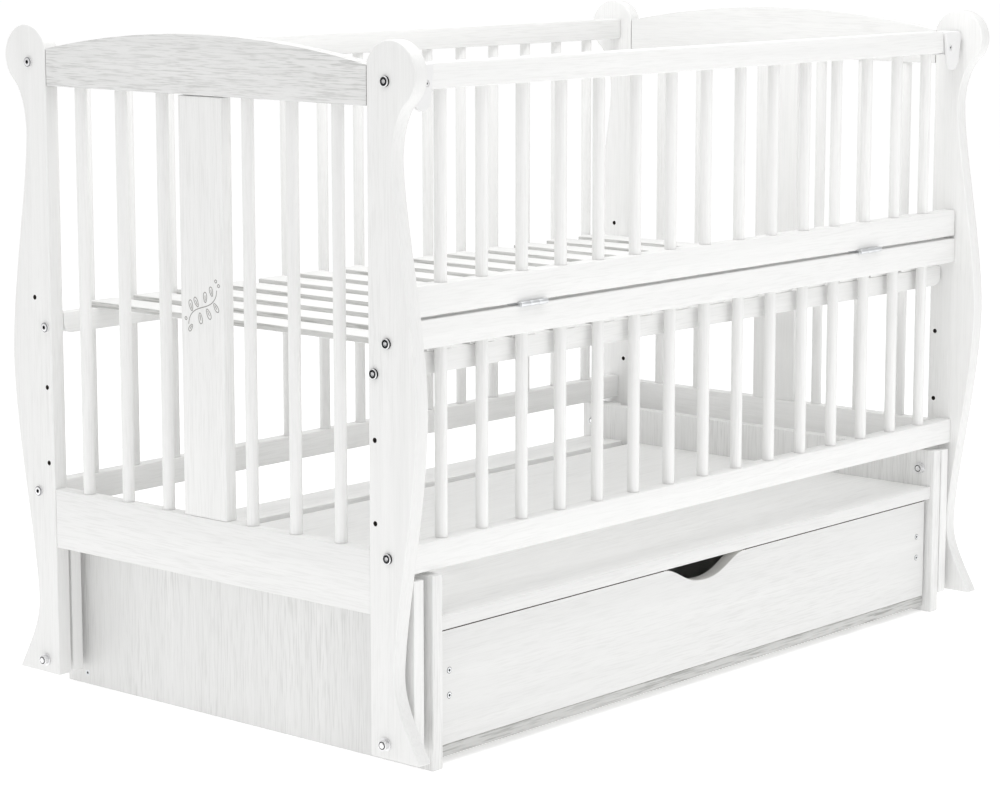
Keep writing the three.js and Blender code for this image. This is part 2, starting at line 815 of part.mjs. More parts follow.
for (const { name, side } of ends) {
  add(`latch_housing_${name}`, latchHousing(side), whitePlastic);
  add(`latch_lever_${name}`, latchLever(side), whitePlastic);
}

// Hinges, with the leaves in the gap between panel and gate and the knuckles in front of the rails

const knuckleLength = hingeLength / 3;
const leafBackY = -hingeY + hingeKnuckleRadius + hingeLeafDepth;

// A leaf on one side of the hinge's mid plane, from the knuckle back into the gap
function hingeLeaf(x, z0, z1) {
  const halfLength = hingeLength / 2;
  return block([x - halfLength, x + halfLength], [-hingeY, leafBackY], [z0, z1]);
}

const knuckle = (x0, x1) => barAlongX(hingeKnuckleRadius, [x0, x1], [-hingeY, hingeZ]);
// Room for the other leaf's knuckle
const knuckleRoom = (x0, x1) =>
  block(
    [x0, x1],
    [-hingeY - hingeKnuckleRadius - fit, -hingeY + hingeKnuckleRadius + fit],
    [hingeZ - hingeKnuckleRadius - fit, hingeZ + hingeKnuckleRadius + fit],
  );

function fixedHingeLeaf(side) {
  const x = (side * hingeSpacing) / 2;
  const middle = knuckleLength / 2 - fit;
  const leaf = hingeLeaf(x, frontPanelTop, frontPanelTop + hingeLeafThickness);
  return cut(
    join(
      cut(
        leaf,
        knuckleRoom(x - hingeLength / 2 - overlap, x - knuckleLength / 2),
        knuckleRoom(x + knuckleLength / 2, x + hingeLength / 2 + overlap),
      ),
      knuckle(x - middle, x + middle),
    ),
    barAlongX(hingePinRadius + turningFit, [x - hingeLength, x + hingeLength], [-hingeY, hingeZ]),
  );
}

function gateHingeLeaf(side) {
  const x = (side * hingeSpacing) / 2;
  const outer = hingeLength / 2;
  const inner = knuckleLength / 2;
  const leaf = hingeLeaf(x, gateBottom - hingeLeafThickness, gateBottom);
  return join(
    cut(leaf, knuckleRoom(x - inner - fit, x + inner + fit)),
    knuckle(x - outer, x - inner),
    knuckle(x + inner, x + outer),
    barAlongX(hingePinRadius, [x - outer, x + outer], [-hingeY, hingeZ]),
  );
}

for (const { name, side } of ends) {
  add(`hinge_fixed_leaf_${name}`, fixedHingeLeaf(side), zincedSteel);
  add(`hinge_gate_leaf_${name}`, gateHingeLeaf(side), zincedSteel);
}

// Base

function basePanel(side) {
  const board = block(
    [side * panelInnerX, side * panelOuterX],
    [-panelHalfDepth, panelHalfDepth],
    [0, panelTop],
  );
  const runner = block(
    [side * (drawerSideOuterX - runnerOverlap), side * (panelInnerX + overlap)],
    [-drawerFrontBackY + fit, rearRailEnd],
    [drawerFrontBottom, runnerTop],
  );
  const pivotHoles = fronts.map(({ facing }) =>
    barAlongX(
      pivotBoltRadius + fit,
      [side * (panelInnerX - overlap), side * (panelOuterX + overlap)],
      [facing * pivotY, upperPivotZ],
    ),
  );
  return cut(join(board, runner), ...pivotHoles);
}

for (const { name, side } of ends) {
  add(`base_end_panel_${name}`, basePanel(side), paintedWood);
}

const betweenPanels = (yRange, zRange) => block([-panelInnerX, panelInnerX], yRange, zRange);
const stretcherFront = -panelHalfDepth + stretcherSetback;
const rearStretcherEnd = panelHalfDepth - rearStretcherInset;
add(
  "shelf",
  betweenPanels([-panelHalfDepth + shelfSetback, shelfEnd], [shelfBottom, shelfTop]),
  paintedWood,
);
add("rear_rail", betweenPanels([rearRailStart, rearRailEnd], [shelfBottom, shelfTop]), paintedWood);
add(
  "front_stretcher",
  betweenPanels([stretcherFront, stretcherFront + stretcherWidth], [stretcherBottom, stretcherTop]),
  paintedWood,
);
add(
  "rear_stretcher",
  betweenPanels([rearStretcherEnd - stretcherWidth, rearStretcherEnd], [stretcherBottom, stretcherTop]),
  paintedWood,
);

// Drawer

// The drawer's floor, grown by a gap when it is the groove for one
function drawerFloor(gap) {
  const halfWidth = drawerSideInnerX + drawerGroove + gap;
  const bottom = drawerSideBottom + drawerFloorRise;
  return block(
    [-halfWidth, halfWidth],
    [-drawerFrontBackY - drawerGroove - gap, drawerBackStart + drawerGroove + gap],
    [bottom - gap, bottom + drawerFloorThickness + gap],
  );
}

function drawerFront() {
  const halfWidth = panelInnerX - drawerSideGap;
  const low = drawerFrontTop - cutOutDepth;
  const outline = new THREE.Shape();
  outline.moveTo(-halfWidth, drawerFrontBottom);
  outline.lineTo(halfWidth, drawerFrontBottom);
  outline.lineTo(halfWidth, drawerFrontTop);
  outline.lineTo(cutOutHalfWidth, drawerFrontTop);
  const endEase = cutOutHalfWidth * (1 - cutOutEase[0]);
  const lowEase = cutOutHalfWidth * cutOutEase[1];
  outline.bezierCurveTo(endEase, drawerFrontTop, lowEase, low, 0, low);
  outline.bezierCurveTo(-lowEase, low, -endEase, drawerFrontTop, -cutOutHalfWidth, drawerFrontTop);
  outline.lineTo(-halfWidth, drawerFrontTop);
  outline.closePath();
  return cut(boardAcrossY(outline, -drawerFrontY, -drawerFrontBackY, 8), drawerFloor(fit));
}

// Two sides and the back, glued to one open frame
function drawerBox() {
  const heights = [drawerSideBottom, drawerSideTop];
  const sides = ends.map(({ side }) =>
    block([side * drawerSideInnerX, side * drawerSideOuterX], [-drawerFrontBackY, drawerBackEnd], heights),
  );
  const back = block(
    [-drawerSideInnerX - overlap, drawerSideInnerX + overlap],
    [drawerBackStart, drawerBackEnd],
    heights,
  );
  return cut(join(back, ...sides), drawerFloor(fit));
}

add("drawer_front", drawerFront(), paintedWood);
add("drawer_box", drawerBox(), paintedWood);
add("drawer_floor", drawerFloor(0), whiteFibreboard);

// Links, and the bolts that they turn on

function link(side, facing) {
  const y = facing * pivotY;
  const board = block(
    [side * linkInnerX, side * linkOuterX],
    [y - linkWidth / 2, y + linkWidth / 2],
    [lowerPivotZ - linkFoot, upperPivotZ + linkHead],
  );
  const through = [side * (linkInnerX - overlap), side * (linkOuterX + overlap)];
  const hole = (z) => barAlongX(pivotBoltRadius + turningFit, through, [y, z]);
  return cut(board, hole(upperPivotZ), hole(lowerPivotZ));
}

// Washer, nut and bolt end, from the face that they lie on outwards
function nutProfile(face, outwards) {
  const washer = face + outwards * pivotWasherThickness;
  const nut = washer + outwards * pivotNutHeight;
  const end = nut + outwards * pivotBoltEnd;
  return [
    [face, pivotBoltRadius],
    [face, pivotWasherRadius],
    [washer, pivotWasherRadius],
    [washer, pivotNutRadius],
    [nut, pivotNutRadius],
    [nut, pivotBoltRadius],
    [end, pivotBoltRadius],
    [end, 0],
  ];
}

// From the nut on the panel's inner face, through panel, spacer and link, to the head
const upperPivotProfile = [
  ...nutProfile(panelInnerX, -1).reverse(),
  [panelOuterX, pivotBoltRadius],
  [panelOuterX, pivotSpacerRadius],
  [linkInnerX - fit, pivotSpacerRadius],
  [linkInnerX - fit, pivotBoltRadius],
  [linkOuterX + fit, pivotBoltRadius],
  [linkOuterX + fit, pivotHeadRadius],
  [linkOuterX + fit + pivotHeadHeight, pivotHeadRadius],
  [linkOuterX + fit + pivotHeadHeight, 0],
];
// From the head inside the link, through link, spacer and leg, to the nut outside
const lowerPivotProfile = [
  [linkInnerX - fit - pivotHeadHeight, 0],
  [linkInnerX - fit - pivotHeadHeight, pivotHeadRadius],
  [linkInnerX - fit, pivotHeadRadius],
  [linkInnerX - fit, pivotBoltRadius],
  [linkOuterX + fit, pivotBoltRadius],
  [linkOuterX + fit, pivotSpacerRadius],
  [legInnerX, pivotSpacerRadius],
  [legInnerX, pivotBoltRadius],
  ...nutProfile(legOuterX, 1),
];

for (const end of ends) {
  for (const front of fronts) {
    const place = `${front.name}_${end.name}`;
    const y = front.facing * pivotY;
    add(`link_${place}`, link(end.side, front.facing), paintedWood);
    add(`upper_pivot_${place}`, turnedAlongX(end.side, upperPivotProfile, [y, upperPivotZ]), zincedSteel);
    add(`lower_pivot_${place}`, turnedAlongX(end.side, lowerPivotProfile, [y, lowerPivotZ]), zincedSteel);
  }
}

export default crib;
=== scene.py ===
"""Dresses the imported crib: white painted wood, plated bolts and hinges, and white plastic latches.

Metres. X runs along the crib, the front looks towards -Y and +Z is up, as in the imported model.
"""

import json
import math

import bmesh
import bpy
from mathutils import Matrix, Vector
from mathutils.geometry import interpolate_bezier


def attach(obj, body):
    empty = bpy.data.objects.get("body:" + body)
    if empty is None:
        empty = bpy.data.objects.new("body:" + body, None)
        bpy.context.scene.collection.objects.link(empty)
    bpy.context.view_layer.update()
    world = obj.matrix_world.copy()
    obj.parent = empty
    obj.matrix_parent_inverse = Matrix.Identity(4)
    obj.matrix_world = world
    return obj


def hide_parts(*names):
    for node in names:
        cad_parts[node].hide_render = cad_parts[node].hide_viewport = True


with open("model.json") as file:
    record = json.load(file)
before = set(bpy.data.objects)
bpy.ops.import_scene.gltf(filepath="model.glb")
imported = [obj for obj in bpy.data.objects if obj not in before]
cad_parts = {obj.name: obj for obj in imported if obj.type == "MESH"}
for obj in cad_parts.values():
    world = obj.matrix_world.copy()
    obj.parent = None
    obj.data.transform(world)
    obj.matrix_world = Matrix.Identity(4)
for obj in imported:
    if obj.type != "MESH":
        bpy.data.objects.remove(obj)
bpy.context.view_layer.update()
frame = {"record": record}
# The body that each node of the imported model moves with
BODY = {
    node: body
    for body, nodes in frame["record"]["behaviour"]["bodies"].items()
    for node in nodes
}
ENDS = {"left": -1, "right": 1}
FACINGS = {"front": -1, "back": 1}

# Camera, placed and turned as the photograph was taken
lens = bpy.data.cameras.new("camera")
lens.sensor_width = 36
lens.lens = 108.27
camera = bpy.data.objects.new("camera", lens)
camera.location = (-3.2092, -2.7566, 1.0655)
camera.rotation_euler = (math.pi / 2 - 0.1636, 0, -0.8533)
bpy.context.scene.collection.objects.link(camera)
bpy.context.scene.camera = camera


# Finishes


def linear(srgb):
    """An sRGB hex colour as linear red, green, blue and alpha."""
    parts = [int(srgb[i : i + 2], 16) / 255 for i in (1, 3, 5)]
    return [p / 12.92 if p <= 0.04045 else ((p + 0.055) / 1.055) ** 2.4 for p in parts] + [1]


def add_node(tree, kind, inputs=(), **settings):
    """A node with its settings, and each input either linked to a socket or set to a value."""
    made = tree.nodes.new(kind)
    for name, value in settings.items():
        setattr(made, name, value)
    for name, value in dict(inputs).items():
        if isinstance(value, bpy.types.NodeSocket):
            tree.links.new(value, made.inputs[name])
        else:
            made.inputs[name].default_value = value
    return made


def new_finish(name):
    """An empty material, and its tree."""
    finish = bpy.data.materials.new(name)
    finish.use_nodes = True
    finish.node_tree.nodes.clear()
    return finish, finish.node_tree


def surface(tree, **inputs):
    """The look of a finish. Its inputs are the shader's, written with underscores for spaces."""
    values = {
        name.replace("_", " ").replace("Ior", "IOR"): value for name, value in inputs.items()
    }
    shader = add_node(tree, "ShaderNodeBsdfPrincipled", values)
    add_node(tree, "ShaderNodeOutputMaterial", {"Surface": shader.outputs["BSDF"]})


# Sockets of a Mix node: its two colours and the mixed one
MIX_A, MIX_B, MIXED = 6, 7, 2


def painted_wood(
    name, along, light="#f1f1f0", dark="#ececeb", pore="#d8d8d6", grain=0.3, spread=0.0022
):
    """Beech sprayed with white acrylic paint. The paint follows the open grain, so the face shows fine
    short grooves and soft bands along the board, and it has a satin gloss. along is the axis of the grain,
    grain how much the grooves show and spread how far apart they lie."""
    finish, tree = new_finish(name)
    place = add_node(tree, "ShaderNodeTexCoord").outputs["Object"]

    def pattern(across, length, detail, distortion, levels):
        """Noise with one lump per across metres, and per length metres along the grain. The range from
        the first to the second level becomes that from the third to the fourth."""
        scale = [1 / across] * 3
        scale["XYZ".index(along)] = 1 / length
        mapped = add_node(tree, "ShaderNodeMapping", {"Vector": place, "Scale": scale})
        noise = add_node(
            tree,
            "ShaderNodeTexNoise",
            {
                "Vector": mapped.outputs["Vector"],
                "Scale": 1,
                "Detail": detail,
                "Roughness": 0.6,
                "Distortion": distortion,
            },
        )
        ranges = dict(zip(("From Min", "From Max", "To Min", "To Max"), levels))
        return add_node(
            tree, "ShaderNodeMapRange", {"Value": noise.outputs["Fac"], **ranges}
        ).outputs["Result"]

    # Real pores are 0.3 mm wide; they are drawn about 1 mm wide so that they show from three metres
    pores = pattern(spread, spread * 22, detail=2, distortion=0.15, levels=(0.36, 0.52, 1, 0))
    # Growth rings show as soft bands about 14 mm wide
    rings = pattern(0.014, 0.5, detail=3, distortion=0.4, levels=(0.3, 0.7, 0, 1))
    # The paint lies thicker in some places, where the pores show less
    patches = pattern(0.11, 0.35, detail=1, distortion=0, levels=(0.35, 0.65, 0.35, 1))
    shown = add_node(tree, "ShaderNodeMath", {0: pores, 1: patches}, operation="MULTIPLY").outputs[0]
    tone = add_node(
        tree,
        "ShaderNodeMix",
        {"Factor": rings, MIX_A: linear(light), MIX_B: linear(dark)},
        data_type="RGBA",
    ).outputs[MIXED]
    strength = add_node(
        tree, "ShaderNodeMath", {0: shown, 1: grain}, operation="MULTIPLY"
    ).outputs[0]
    colour = add_node(
        tree,
        "ShaderNodeMix",
        {"Factor": strength, MIX_A: tone, MIX_B: linear(pore)},
        data_type="RGBA",
    ).outputs[MIXED]
    depth = add_node(
        tree,
        "ShaderNodeMath",
        {0: rings, 1: 0.35, 2: shown},
        operation="MULTIPLY_ADD",
    ).outputs[0]
    relief = add_node(
        tree,
        "ShaderNodeBump",
        {"Height": depth, "Strength": grain * 0.7, "Distance": 0.0003},
        invert=True,
    ).outputs["Normal"]
    surface(tree, Base_Color=colour, Roughness=0.45, Ior=1.5, Normal=relief)
    return finish


def plated_steel(name, colour, roughness, lump):
    """Plating on steel, with the faint uneven sheen that barrel plating leaves. lump is the size of its
    unevenness in metres."""
    finish, tree = new_finish(name)
    place = add_node(tree, "ShaderNodeTexCoord").outputs["Object"]
    noise = add_node(
        tree, "ShaderNodeTexNoise", {"Vector": place, "Scale": 1 / lump, "Detail": 2}
    ).outputs["Fac"]
    gloss = add_node(
        tree,
        "ShaderNodeMapRange",
        {"Value": noise, "To Min": roughness - 0.06, "To Max": roughness + 0.06},
    ).outputs["Result"]
    relief = add_node(
        tree, "ShaderNodeBump", {"Height": noise, "Strength": 0.2, "Distance": 0.00005}
    ).outputs["Normal"]
    surface(tree, Base_Color=linear(colour), Metallic=1, Roughness=gloss, Normal=relief)
    return finish


def moulded_plastic():
    """White injection-moulded ABS, smooth and a little glossy, with the fine spark texture of its mould."""
    finish, tree = new_finish("white_moulded_abs")
    place = add_node(tree, "ShaderNodeTexCoord").outputs["Object"]
    # Spark texture is 0.1 mm; drawn at 0.6 mm so that it shows
    noise = add_node(
        tree, "ShaderNodeTexNoise", {"Vector": place, "Scale": 1 / 0.0006, "Detail": 1}
    ).outputs["Fac"]
    relief = add_node(
        tree, "ShaderNodeBump", {"Height": noise, "Strength": 0.08, "Distance": 0.00005}
    ).outputs["Normal"]
    surface(tree, Base_Color=linear("#f5f5f4"), Roughness=0.32, Ior=1.54, Normal=relief)
    return finish


def matt_board(name, light, dark, lump, roughness):
    """A plain dull surface, its tone a little uneven in lumps of a size in metres."""
    finish, tree = new_finish(name)
    place = add_node(tree, "ShaderNodeTexCoord").outputs["Object"]
    noise = add_node(
        tree, "ShaderNodeTexNoise", {"Vector": place, "Scale": 1 / lump, "Detail": 3}
    ).outputs["Fac"]
    tone = add_node(
        tree,
        "ShaderNodeMix",
        {"Factor": noise, MIX_A: linear(light), MIX_B: linear(dark)},
        data_type="RGBA",
    ).outputs[MIXED]
    surface(tree, Base_Color=tone, Roughness=roughness)
    return finish


wood_along = {axis: painted_wood(f"white_painted_beech_along_{axis.lower()}", axis) for axis in "XYZ"}
# The boards below differ from the plain white. The left arched rail is greyer and shows more grain.
# The base's end panels, the drawer's front with the shelf's front edge, the stretchers by the floor, the
# slats' sides and the legs' sawn edges are greyer with painted shade, and most show more grain. The shelf
# and its rear rail are whiter with painted light
grey_wood = painted_wood("greyer_beech_along_y", "Y", "#e8e8e7", "#e2e2e1", "#bdbdbb", 0.75, 0.0016)
base_wood_painted_shade = painted_wood("beech_with_painted_shade_along_z", "Z", "#ececeb", "#e6e6e5", "#c8c8c6", 0.5)
front_wood_painted_shade = painted_wood("beech_with_painted_shade_along_x", "X", "#e7e7e6", "#e2e2e1", "#cfcfcd", 0.35)
low_wood_painted_shade = painted_wood("beech_with_deep_painted_shade_along_x", "X", "#d0d0ce", "#c4c4c2", "#8f8f8c", 0.8)
slat_edge_painted_shade = painted_wood("beech_with_deep_painted_shade_along_y", "Y", "#dadad8", "#d0d0ce", "#a3a3a0", 0.8)
wood_painted_light = painted_wood("beech_with_painted_light_along_x", "X", "#f9f9f8", "#f5f5f4")
sawn_edge_painted_shade = painted_wood("leg_edges_with_painted_shade", "Z", "#eaeae9", "#e6e6e5", "#d2d2d0")
# Bright nickel, nickel with painted shade for the back bolts' rims, and nickel with a painted dark
# reflection for the front bolts' faces and rims
nickel = plated_steel("nickel_plated_steel", "#e8e8e9", 0.28, 0.004)
nickel_rim_painted_shade = plated_steel("nickel_with_painted_shade_on_rim", "#8c8d8f", 0.35, 0.002)
nickel_painted_dark_reflection = plated_steel("nickel_with_painted_dark_reflection", "#2c2d2f", 0.35, 0.004)
# Sockets look dark, since little light comes in
socket_steel = plated_steel("steel_in_sockets", "#4a4b4d", 0.5, 0.002)
screw_socket = matt_board("painted_shade_in_screw_sockets", "#161617", "#101011", 0.002, 0.8)
zinc = plated_steel("zinc_plated_steel", "#dfe1e3", 0.3, 0.005)
plastic = moulded_plastic()
fibreboard = matt_board("white_faced_fibreboard", "#efefee", "#e9e9e7", 0.05, 0.55)
# Bare wood darkened with painted shade in drilled holes, floor grooves, joints, gaps and screw rims;
# painted shade in the sprig's grooves; and painted shade on the drawer front's upper faces under the shelf
bare_wood_painted_shade = matt_board("bare_wood_with_painted_shade", "#4a443e", "#37322d", 0.002, 0.9)
groove_painted_shade = matt_board("painted_shade_in_grooves", "#9f9e9b", "#959491", 0.002, 0.7)
top_edge_painted_shade = matt_board("painted_shade_on_top_edge", "#d6d5d2", "#c8c7c4", 0.01, 0.8)

# Shaping


def hold(*pieces):
    """Selects these pieces and nothing else. The last one is active."""
    bpy.ops.object.select_all(action="DESELECT")
    for piece in pieces:
        piece.select_set(True)
    bpy.context.view_layer.objects.active = pieces[-1]


def open_faces(piece, wanted):
    """Opens the piece in edit mode with the faces selected that wanted picks."""
    hold(piece)
    bpy.ops.object.mode_set(mode="EDIT")
    bpy.ops.mesh.select_mode(type="FACE")
    bpy.ops.mesh.select_all(action="DESELECT")
    shape = bmesh.from_edit_mesh(piece.data)
    for face in shape.faces:
        if wanted(face):
            face.select_set(True)
    bmesh.update_edit_mesh(piece.data)


def close():
    """Leaves edit mode."""
    bpy.ops.object.mode_set(mode="OBJECT")


def refinish(piece, finish, wanted):
    """Gives the faces that wanted picks another finish."""
    piece.data.materials.append(finish)
    open_faces(piece, wanted)
    piece.active_material_index = len(piece.data.materials) - 1
    bpy.ops.object.material_slot_assign()
    close()


# Degrees between two faces, above which their edge is rounded, and below which they shade as one
SHARP_ABOVE, SMOOTH_BELOW = 40, 25


def ease_edges(piece, width, steps=3):
    """Rounds every sharp edge of a piece."""
    hold(piece)
    bpy.ops.object.mode_set(mode="EDIT")
    bpy.ops.mesh.select_mode(type="EDGE")
    bpy.ops.mesh.select_all(action="DESELECT")
    bpy.ops.mesh.edges_select_sharp(sharpness=math.radians(SHARP_ABOVE))
    bpy.ops.mesh.bevel(offset=width, segments=steps, affect="EDGES")
    close()


def named(piece, name, finish=None):
    """Gives a finished piece its name, its finish if it has none, and its shading."""
    piece.name = piece.data.name = name
    if finish and not piece.data.materials:
        piece.data.materials.append(finish)
    hold(piece)
    bpy.ops.object.shade_smooth_by_angle(angle=math.radians(SMOOTH_BELOW))
    return piece


def block(low, high):
    """A box between two corners."""
    low, high = Vector(low), Vector(high)
    bpy.ops.mesh.primitive_cube_add(size=1, location=(low + high) / 2, scale=high - low)
    bpy.ops.object.transform_apply()
    return bpy.context.object


def rod(radius, start, end, sides=32):
    """A round bar between two points."""
    start, end = Vector(start), Vector(end)
    along = end - start
    bpy.ops.mesh.primitive_cylinder_add(
        vertices=sides,
        radius=radius,
        depth=along.length,
        location=(start + end) / 2,
        rotation=along.to_track_quat("Z", "Y").to_euler(),
    )
    bpy.ops.object.transform_apply()
    return bpy.context.object


def sawn(outline, across, span):
    """A board sawn to an outline. across is the axis of its thickness and span its two faces on it."""
    bpy.ops.mesh.primitive_circle_add(vertices=len(outline), fill_type="NGON")
    piece = bpy.context.object
    for corner, (u, v) in zip(piece.data.vertices, outline):
        corner.co = (span[0], u, v) if across == "X" else (u, span[0], v)
    thickness = span[1] - span[0]
    open_faces(piece, lambda face: True)
    bpy.ops.mesh.extrude_region_move(
        TRANSFORM_OT_translate={
            "value": (thickness, 0, 0) if across == "X" else (0, thickness, 0)
        }
    )
    bpy.ops.mesh.select_all(action="SELECT")
    bpy.ops.mesh.normals_make_consistent(inside=False)
    close()
    return piece


def combine(piece, other, operation="DIFFERENCE", finish=None):
    """Takes the other piece away from this one, or joins it on. Its finish lines the cut."""
    if finish:
        other.data.materials.append(finish)
    change = piece.modifiers.new("combine", "BOOLEAN")
    change.operation = operation
    change.object = other
    change.solver = "EXACT"
    change.use_self = True
    change.material_mode = "TRANSFER"
    hold(piece)
    bpy.ops.object.modifier_apply(modifier=change.name)
    bpy.data.objects.remove(other)
    return piece


def joined(*pieces):
    """Several pieces as one object."""
    hold(*pieces)
    bpy.ops.object.join()
    return bpy.context.object


def copy_of(model, shift, turn=0):
    """A copy with its own mesh, turned about Z by some degrees and moved."""
    hold(model)
    bpy.ops.object.duplicate()
    piece = bpy.context.object
    piece.rotation_euler.z = math.radians(turn)
    piece.location = shift
    bpy.ops.object.transform_apply()
    return piece


def stands_for(piece, node):
    """The piece takes the place of a node and moves with its body."""
    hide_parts(node)
    goes_with(piece, node)


def goes_with(piece, node):
    """The piece moves with the body of a node."""
    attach(piece, BODY[node])


def plank(name, low, high, grain, easing=0.0015, finish=None):
    """A straight board with rounded edges."""
    low, high = Vector(map(min, low, high)), Vector(map(max, low, high))
    piece = block(low, high)
    ease_edges(piece, easing)
    return named(piece, name, finish or wood_along[grain])


def span_x(side, *xs):
    """Places on X of one end, in rising order."""
    return sorted(side * x for x in xs)


def drill(radius, side, faces, y, z):
    """A rod along X to cut a hole with, from 2 mm before a board's faces to 2 mm past them."""
    start, stop = side * (faces[0] - 0.002), side * (faces[1] + 0.002)
    return rod(radius, (start, y, z), (stop, y, z), 20)


def barrel_drills(y, bottom, bolts):
    """Rods to cut the holes for a rail's two barrel nuts with, from below to past the bolts' height."""
    low, high = bottom - 0.003, bolts + 0.0073
    return [rod(0.0053, (x, y, low), (x, y, high), 24) for x in (-BARREL_X, BARREL_X)]


def evenly(count, last):
    """Places from -last to last, all the same distance apart."""
    return [-last + 2 * last * i / (count - 1) for i in range(count)]


def arc(centre, radius, start, end, steps):
    """Points on a circle, from one angle to the other in degrees."""
    turns = [math.radians(start + (end - start) * i / steps) for i in range(steps + 1)]
    return [(centre[0] + radius * math.cos(a), centre[1] + radius * math.sin(a)) for a in turns]


def bends(start, *stretches, steps=16):
    """Points along Bezier stretches, each two handles and an end, without the very first point."""
    points = []
    for first_handle, second_handle, end in stretches:
        line = interpolate_bezier(
            Vector(start), Vector(first_handle), Vector(second_handle), Vector(end), steps + 1
        )
        points += [tuple(p)[:2] for p in line[1:]]
        start = end
    return points


# Sizes that the pieces share. A pair with X, Y or Z in its name is a board's two faces on that axis
LEG_X = (0.602, 0.624)
LEG_INNER, LEG_OUTER = LEG_X
# The legs' straight edges, the middle and the faces of the side rails, and the slatted base's rails
LEG_EDGE = 0.290
SIDE_Y = 0.3215
SIDE_RAIL_Y = (0.3105, 0.3325)
SLAT_RAIL_MIDDLE = 0.3005
SLAT_RAIL_Y = (0.2915, 0.3095)
# Heights of the rails
BOTTOM_RAIL_Z = (0.252, 0.288)
PANEL_RAIL_Z = (0.526, 0.562)
GATE_FOOT_Z = (0.566, 0.604)
TOP_RAIL_Z = (0.838, 0.870)
SLAT_RAIL_Z = (0.490, 0.518)
# Heights of the side rails' bolts, and of the three settings of the slatted base. The first is in use
HOLE_Z = (0.8505, 0.5385, 0.276)
SLAT_HOLE_Z = (0.500, 0.419, 0.3165)
BARREL_X = 0.575
BOLT_HOLE, PIVOT_HOLE = 0.0033, 0.0043
# Links, and their lower and upper pivots
PIVOT_Y = 0.316
PIVOT_Z = (0.0436, 0.219)
LINK_X = (0.575, 0.593)
LINK_HALF_WIDTH = 0.019
LINK_Z = (0.0246, 0.244)
# The base's end panels
BASE_X = (0.547, 0.565)
# Spindles of a side and of an end, where the centre board takes the middle place
SIDE_XS = evenly(15, 0.5285)
END_YS = [y for y in evenly(7, 0.2325) if abs(y) > 0.01]
SPINDLE_RADIUS = 0.008
TENON_STEP, TENON_LENGTH = 0.0022, 0.012

# Legs


def leg_outline():
    """Reach from the straight edge, and height."""
    points = [(0, 0.025), (0.081, 0.025)]
    points += bends(
        points[-1],
        ((0.0623, 0.0607), (0.0395, 0.0913), (0.0395, 0.127)),
        ((0.0395, 0.1959), (0.079, 0.3500), (0.079, 0.455)),
        ((0.079, 0.5456), (0.0415, 0.6966), (0.0415, 0.757)),
        ((0.0415, 0.7847), (0.0498, 0.8133), (0.06518, 0.82621)),
    )
    return points + arc((0.0385, 0.858), 0.0415, -50, 158.08, 40)[1:]


for end, side in ENDS.items():
    for front, facing in FACINGS.items():
        node = f"leg_{front}_{end}"
        outline = [(facing * (LEG_EDGE + reach), z) for reach, z in leg_outline()]
        leg = sawn(outline, "X", [side * x for x in LEG_X])
        ease_edges(leg, 0.0022)
        leg.data.materials.append(wood_along["Z"])
        # The legs' sawn edges are greyer with painted shade
        refinish(leg, sawn_edge_painted_shade, lambda face: abs(face.normal.x) < 0.3)
        holes = [(SIDE_Y, z, BOLT_HOLE) for z in HOLE_Z]
        holes += [(SLAT_RAIL_MIDDLE, z, BOLT_HOLE) for z in SLAT_HOLE_Z]
        holes += [(PIVOT_Y, PIVOT_Z[0], PIVOT_HOLE)]
        drills = [drill(radius, side, LEG_X, facing * y, z) for y, z, radius in holes]
        combine(leg, joined(*drills), finish=bare_wood_painted_shade)
        stands_for(named(leg, f"painted_leg_{front}_{end}"), node)

# Spindles


def dowel(y, low, high):
    """A spindle with eased shoulders and a tenon at each end, in the middle of the crib."""
    piece = rod(SPINDLE_RADIUS, (0, y, low), (0, y, high), 28)
    ease_edges(piece, 0.0008, 2)
    for direction in (-1, 1):
        open_faces(piece, lambda face: face.normal.z * direction > 0.99)
        bpy.ops.mesh.inset(thickness=TENON_STEP)
        bpy.ops.mesh.extrude_region_move(
            TRANSFORM_OT_translate={"value": (0, 0, direction * TENON_LENGTH)}
        )
        close()
    return named(piece, "dowel", wood_along["Z"])


def spindle_row(name, node, y, low, high):
    """The spindles of a side, between two heights. They belong to the node of their lower rail."""
    model = dowel(y, low, high)
    for i, x in enumerate(SIDE_XS, 1):
        goes_with(named(copy_of(model, (x, 0, 0)), f"{name}_spindle_{i:02d}"), node)
    bpy.data.objects.remove(model)


# Ends
END_X = (0.603, 0.623)
END_RAIL_Z = (0.202, 0.282)
ARCH_Z = (0.820, 0.896)
ARCH_RISE = 0.027
# A dark joint line shows between the arched rails and the legs
RAIL_END = LEG_EDGE - 0.001
ARCH_RADIUS = (LEG_EDGE**2 + ARCH_RISE**2) / (2 * ARCH_RISE)
ARCH_ANGLE = math.degrees(math.asin(RAIL_END / ARCH_RADIUS))

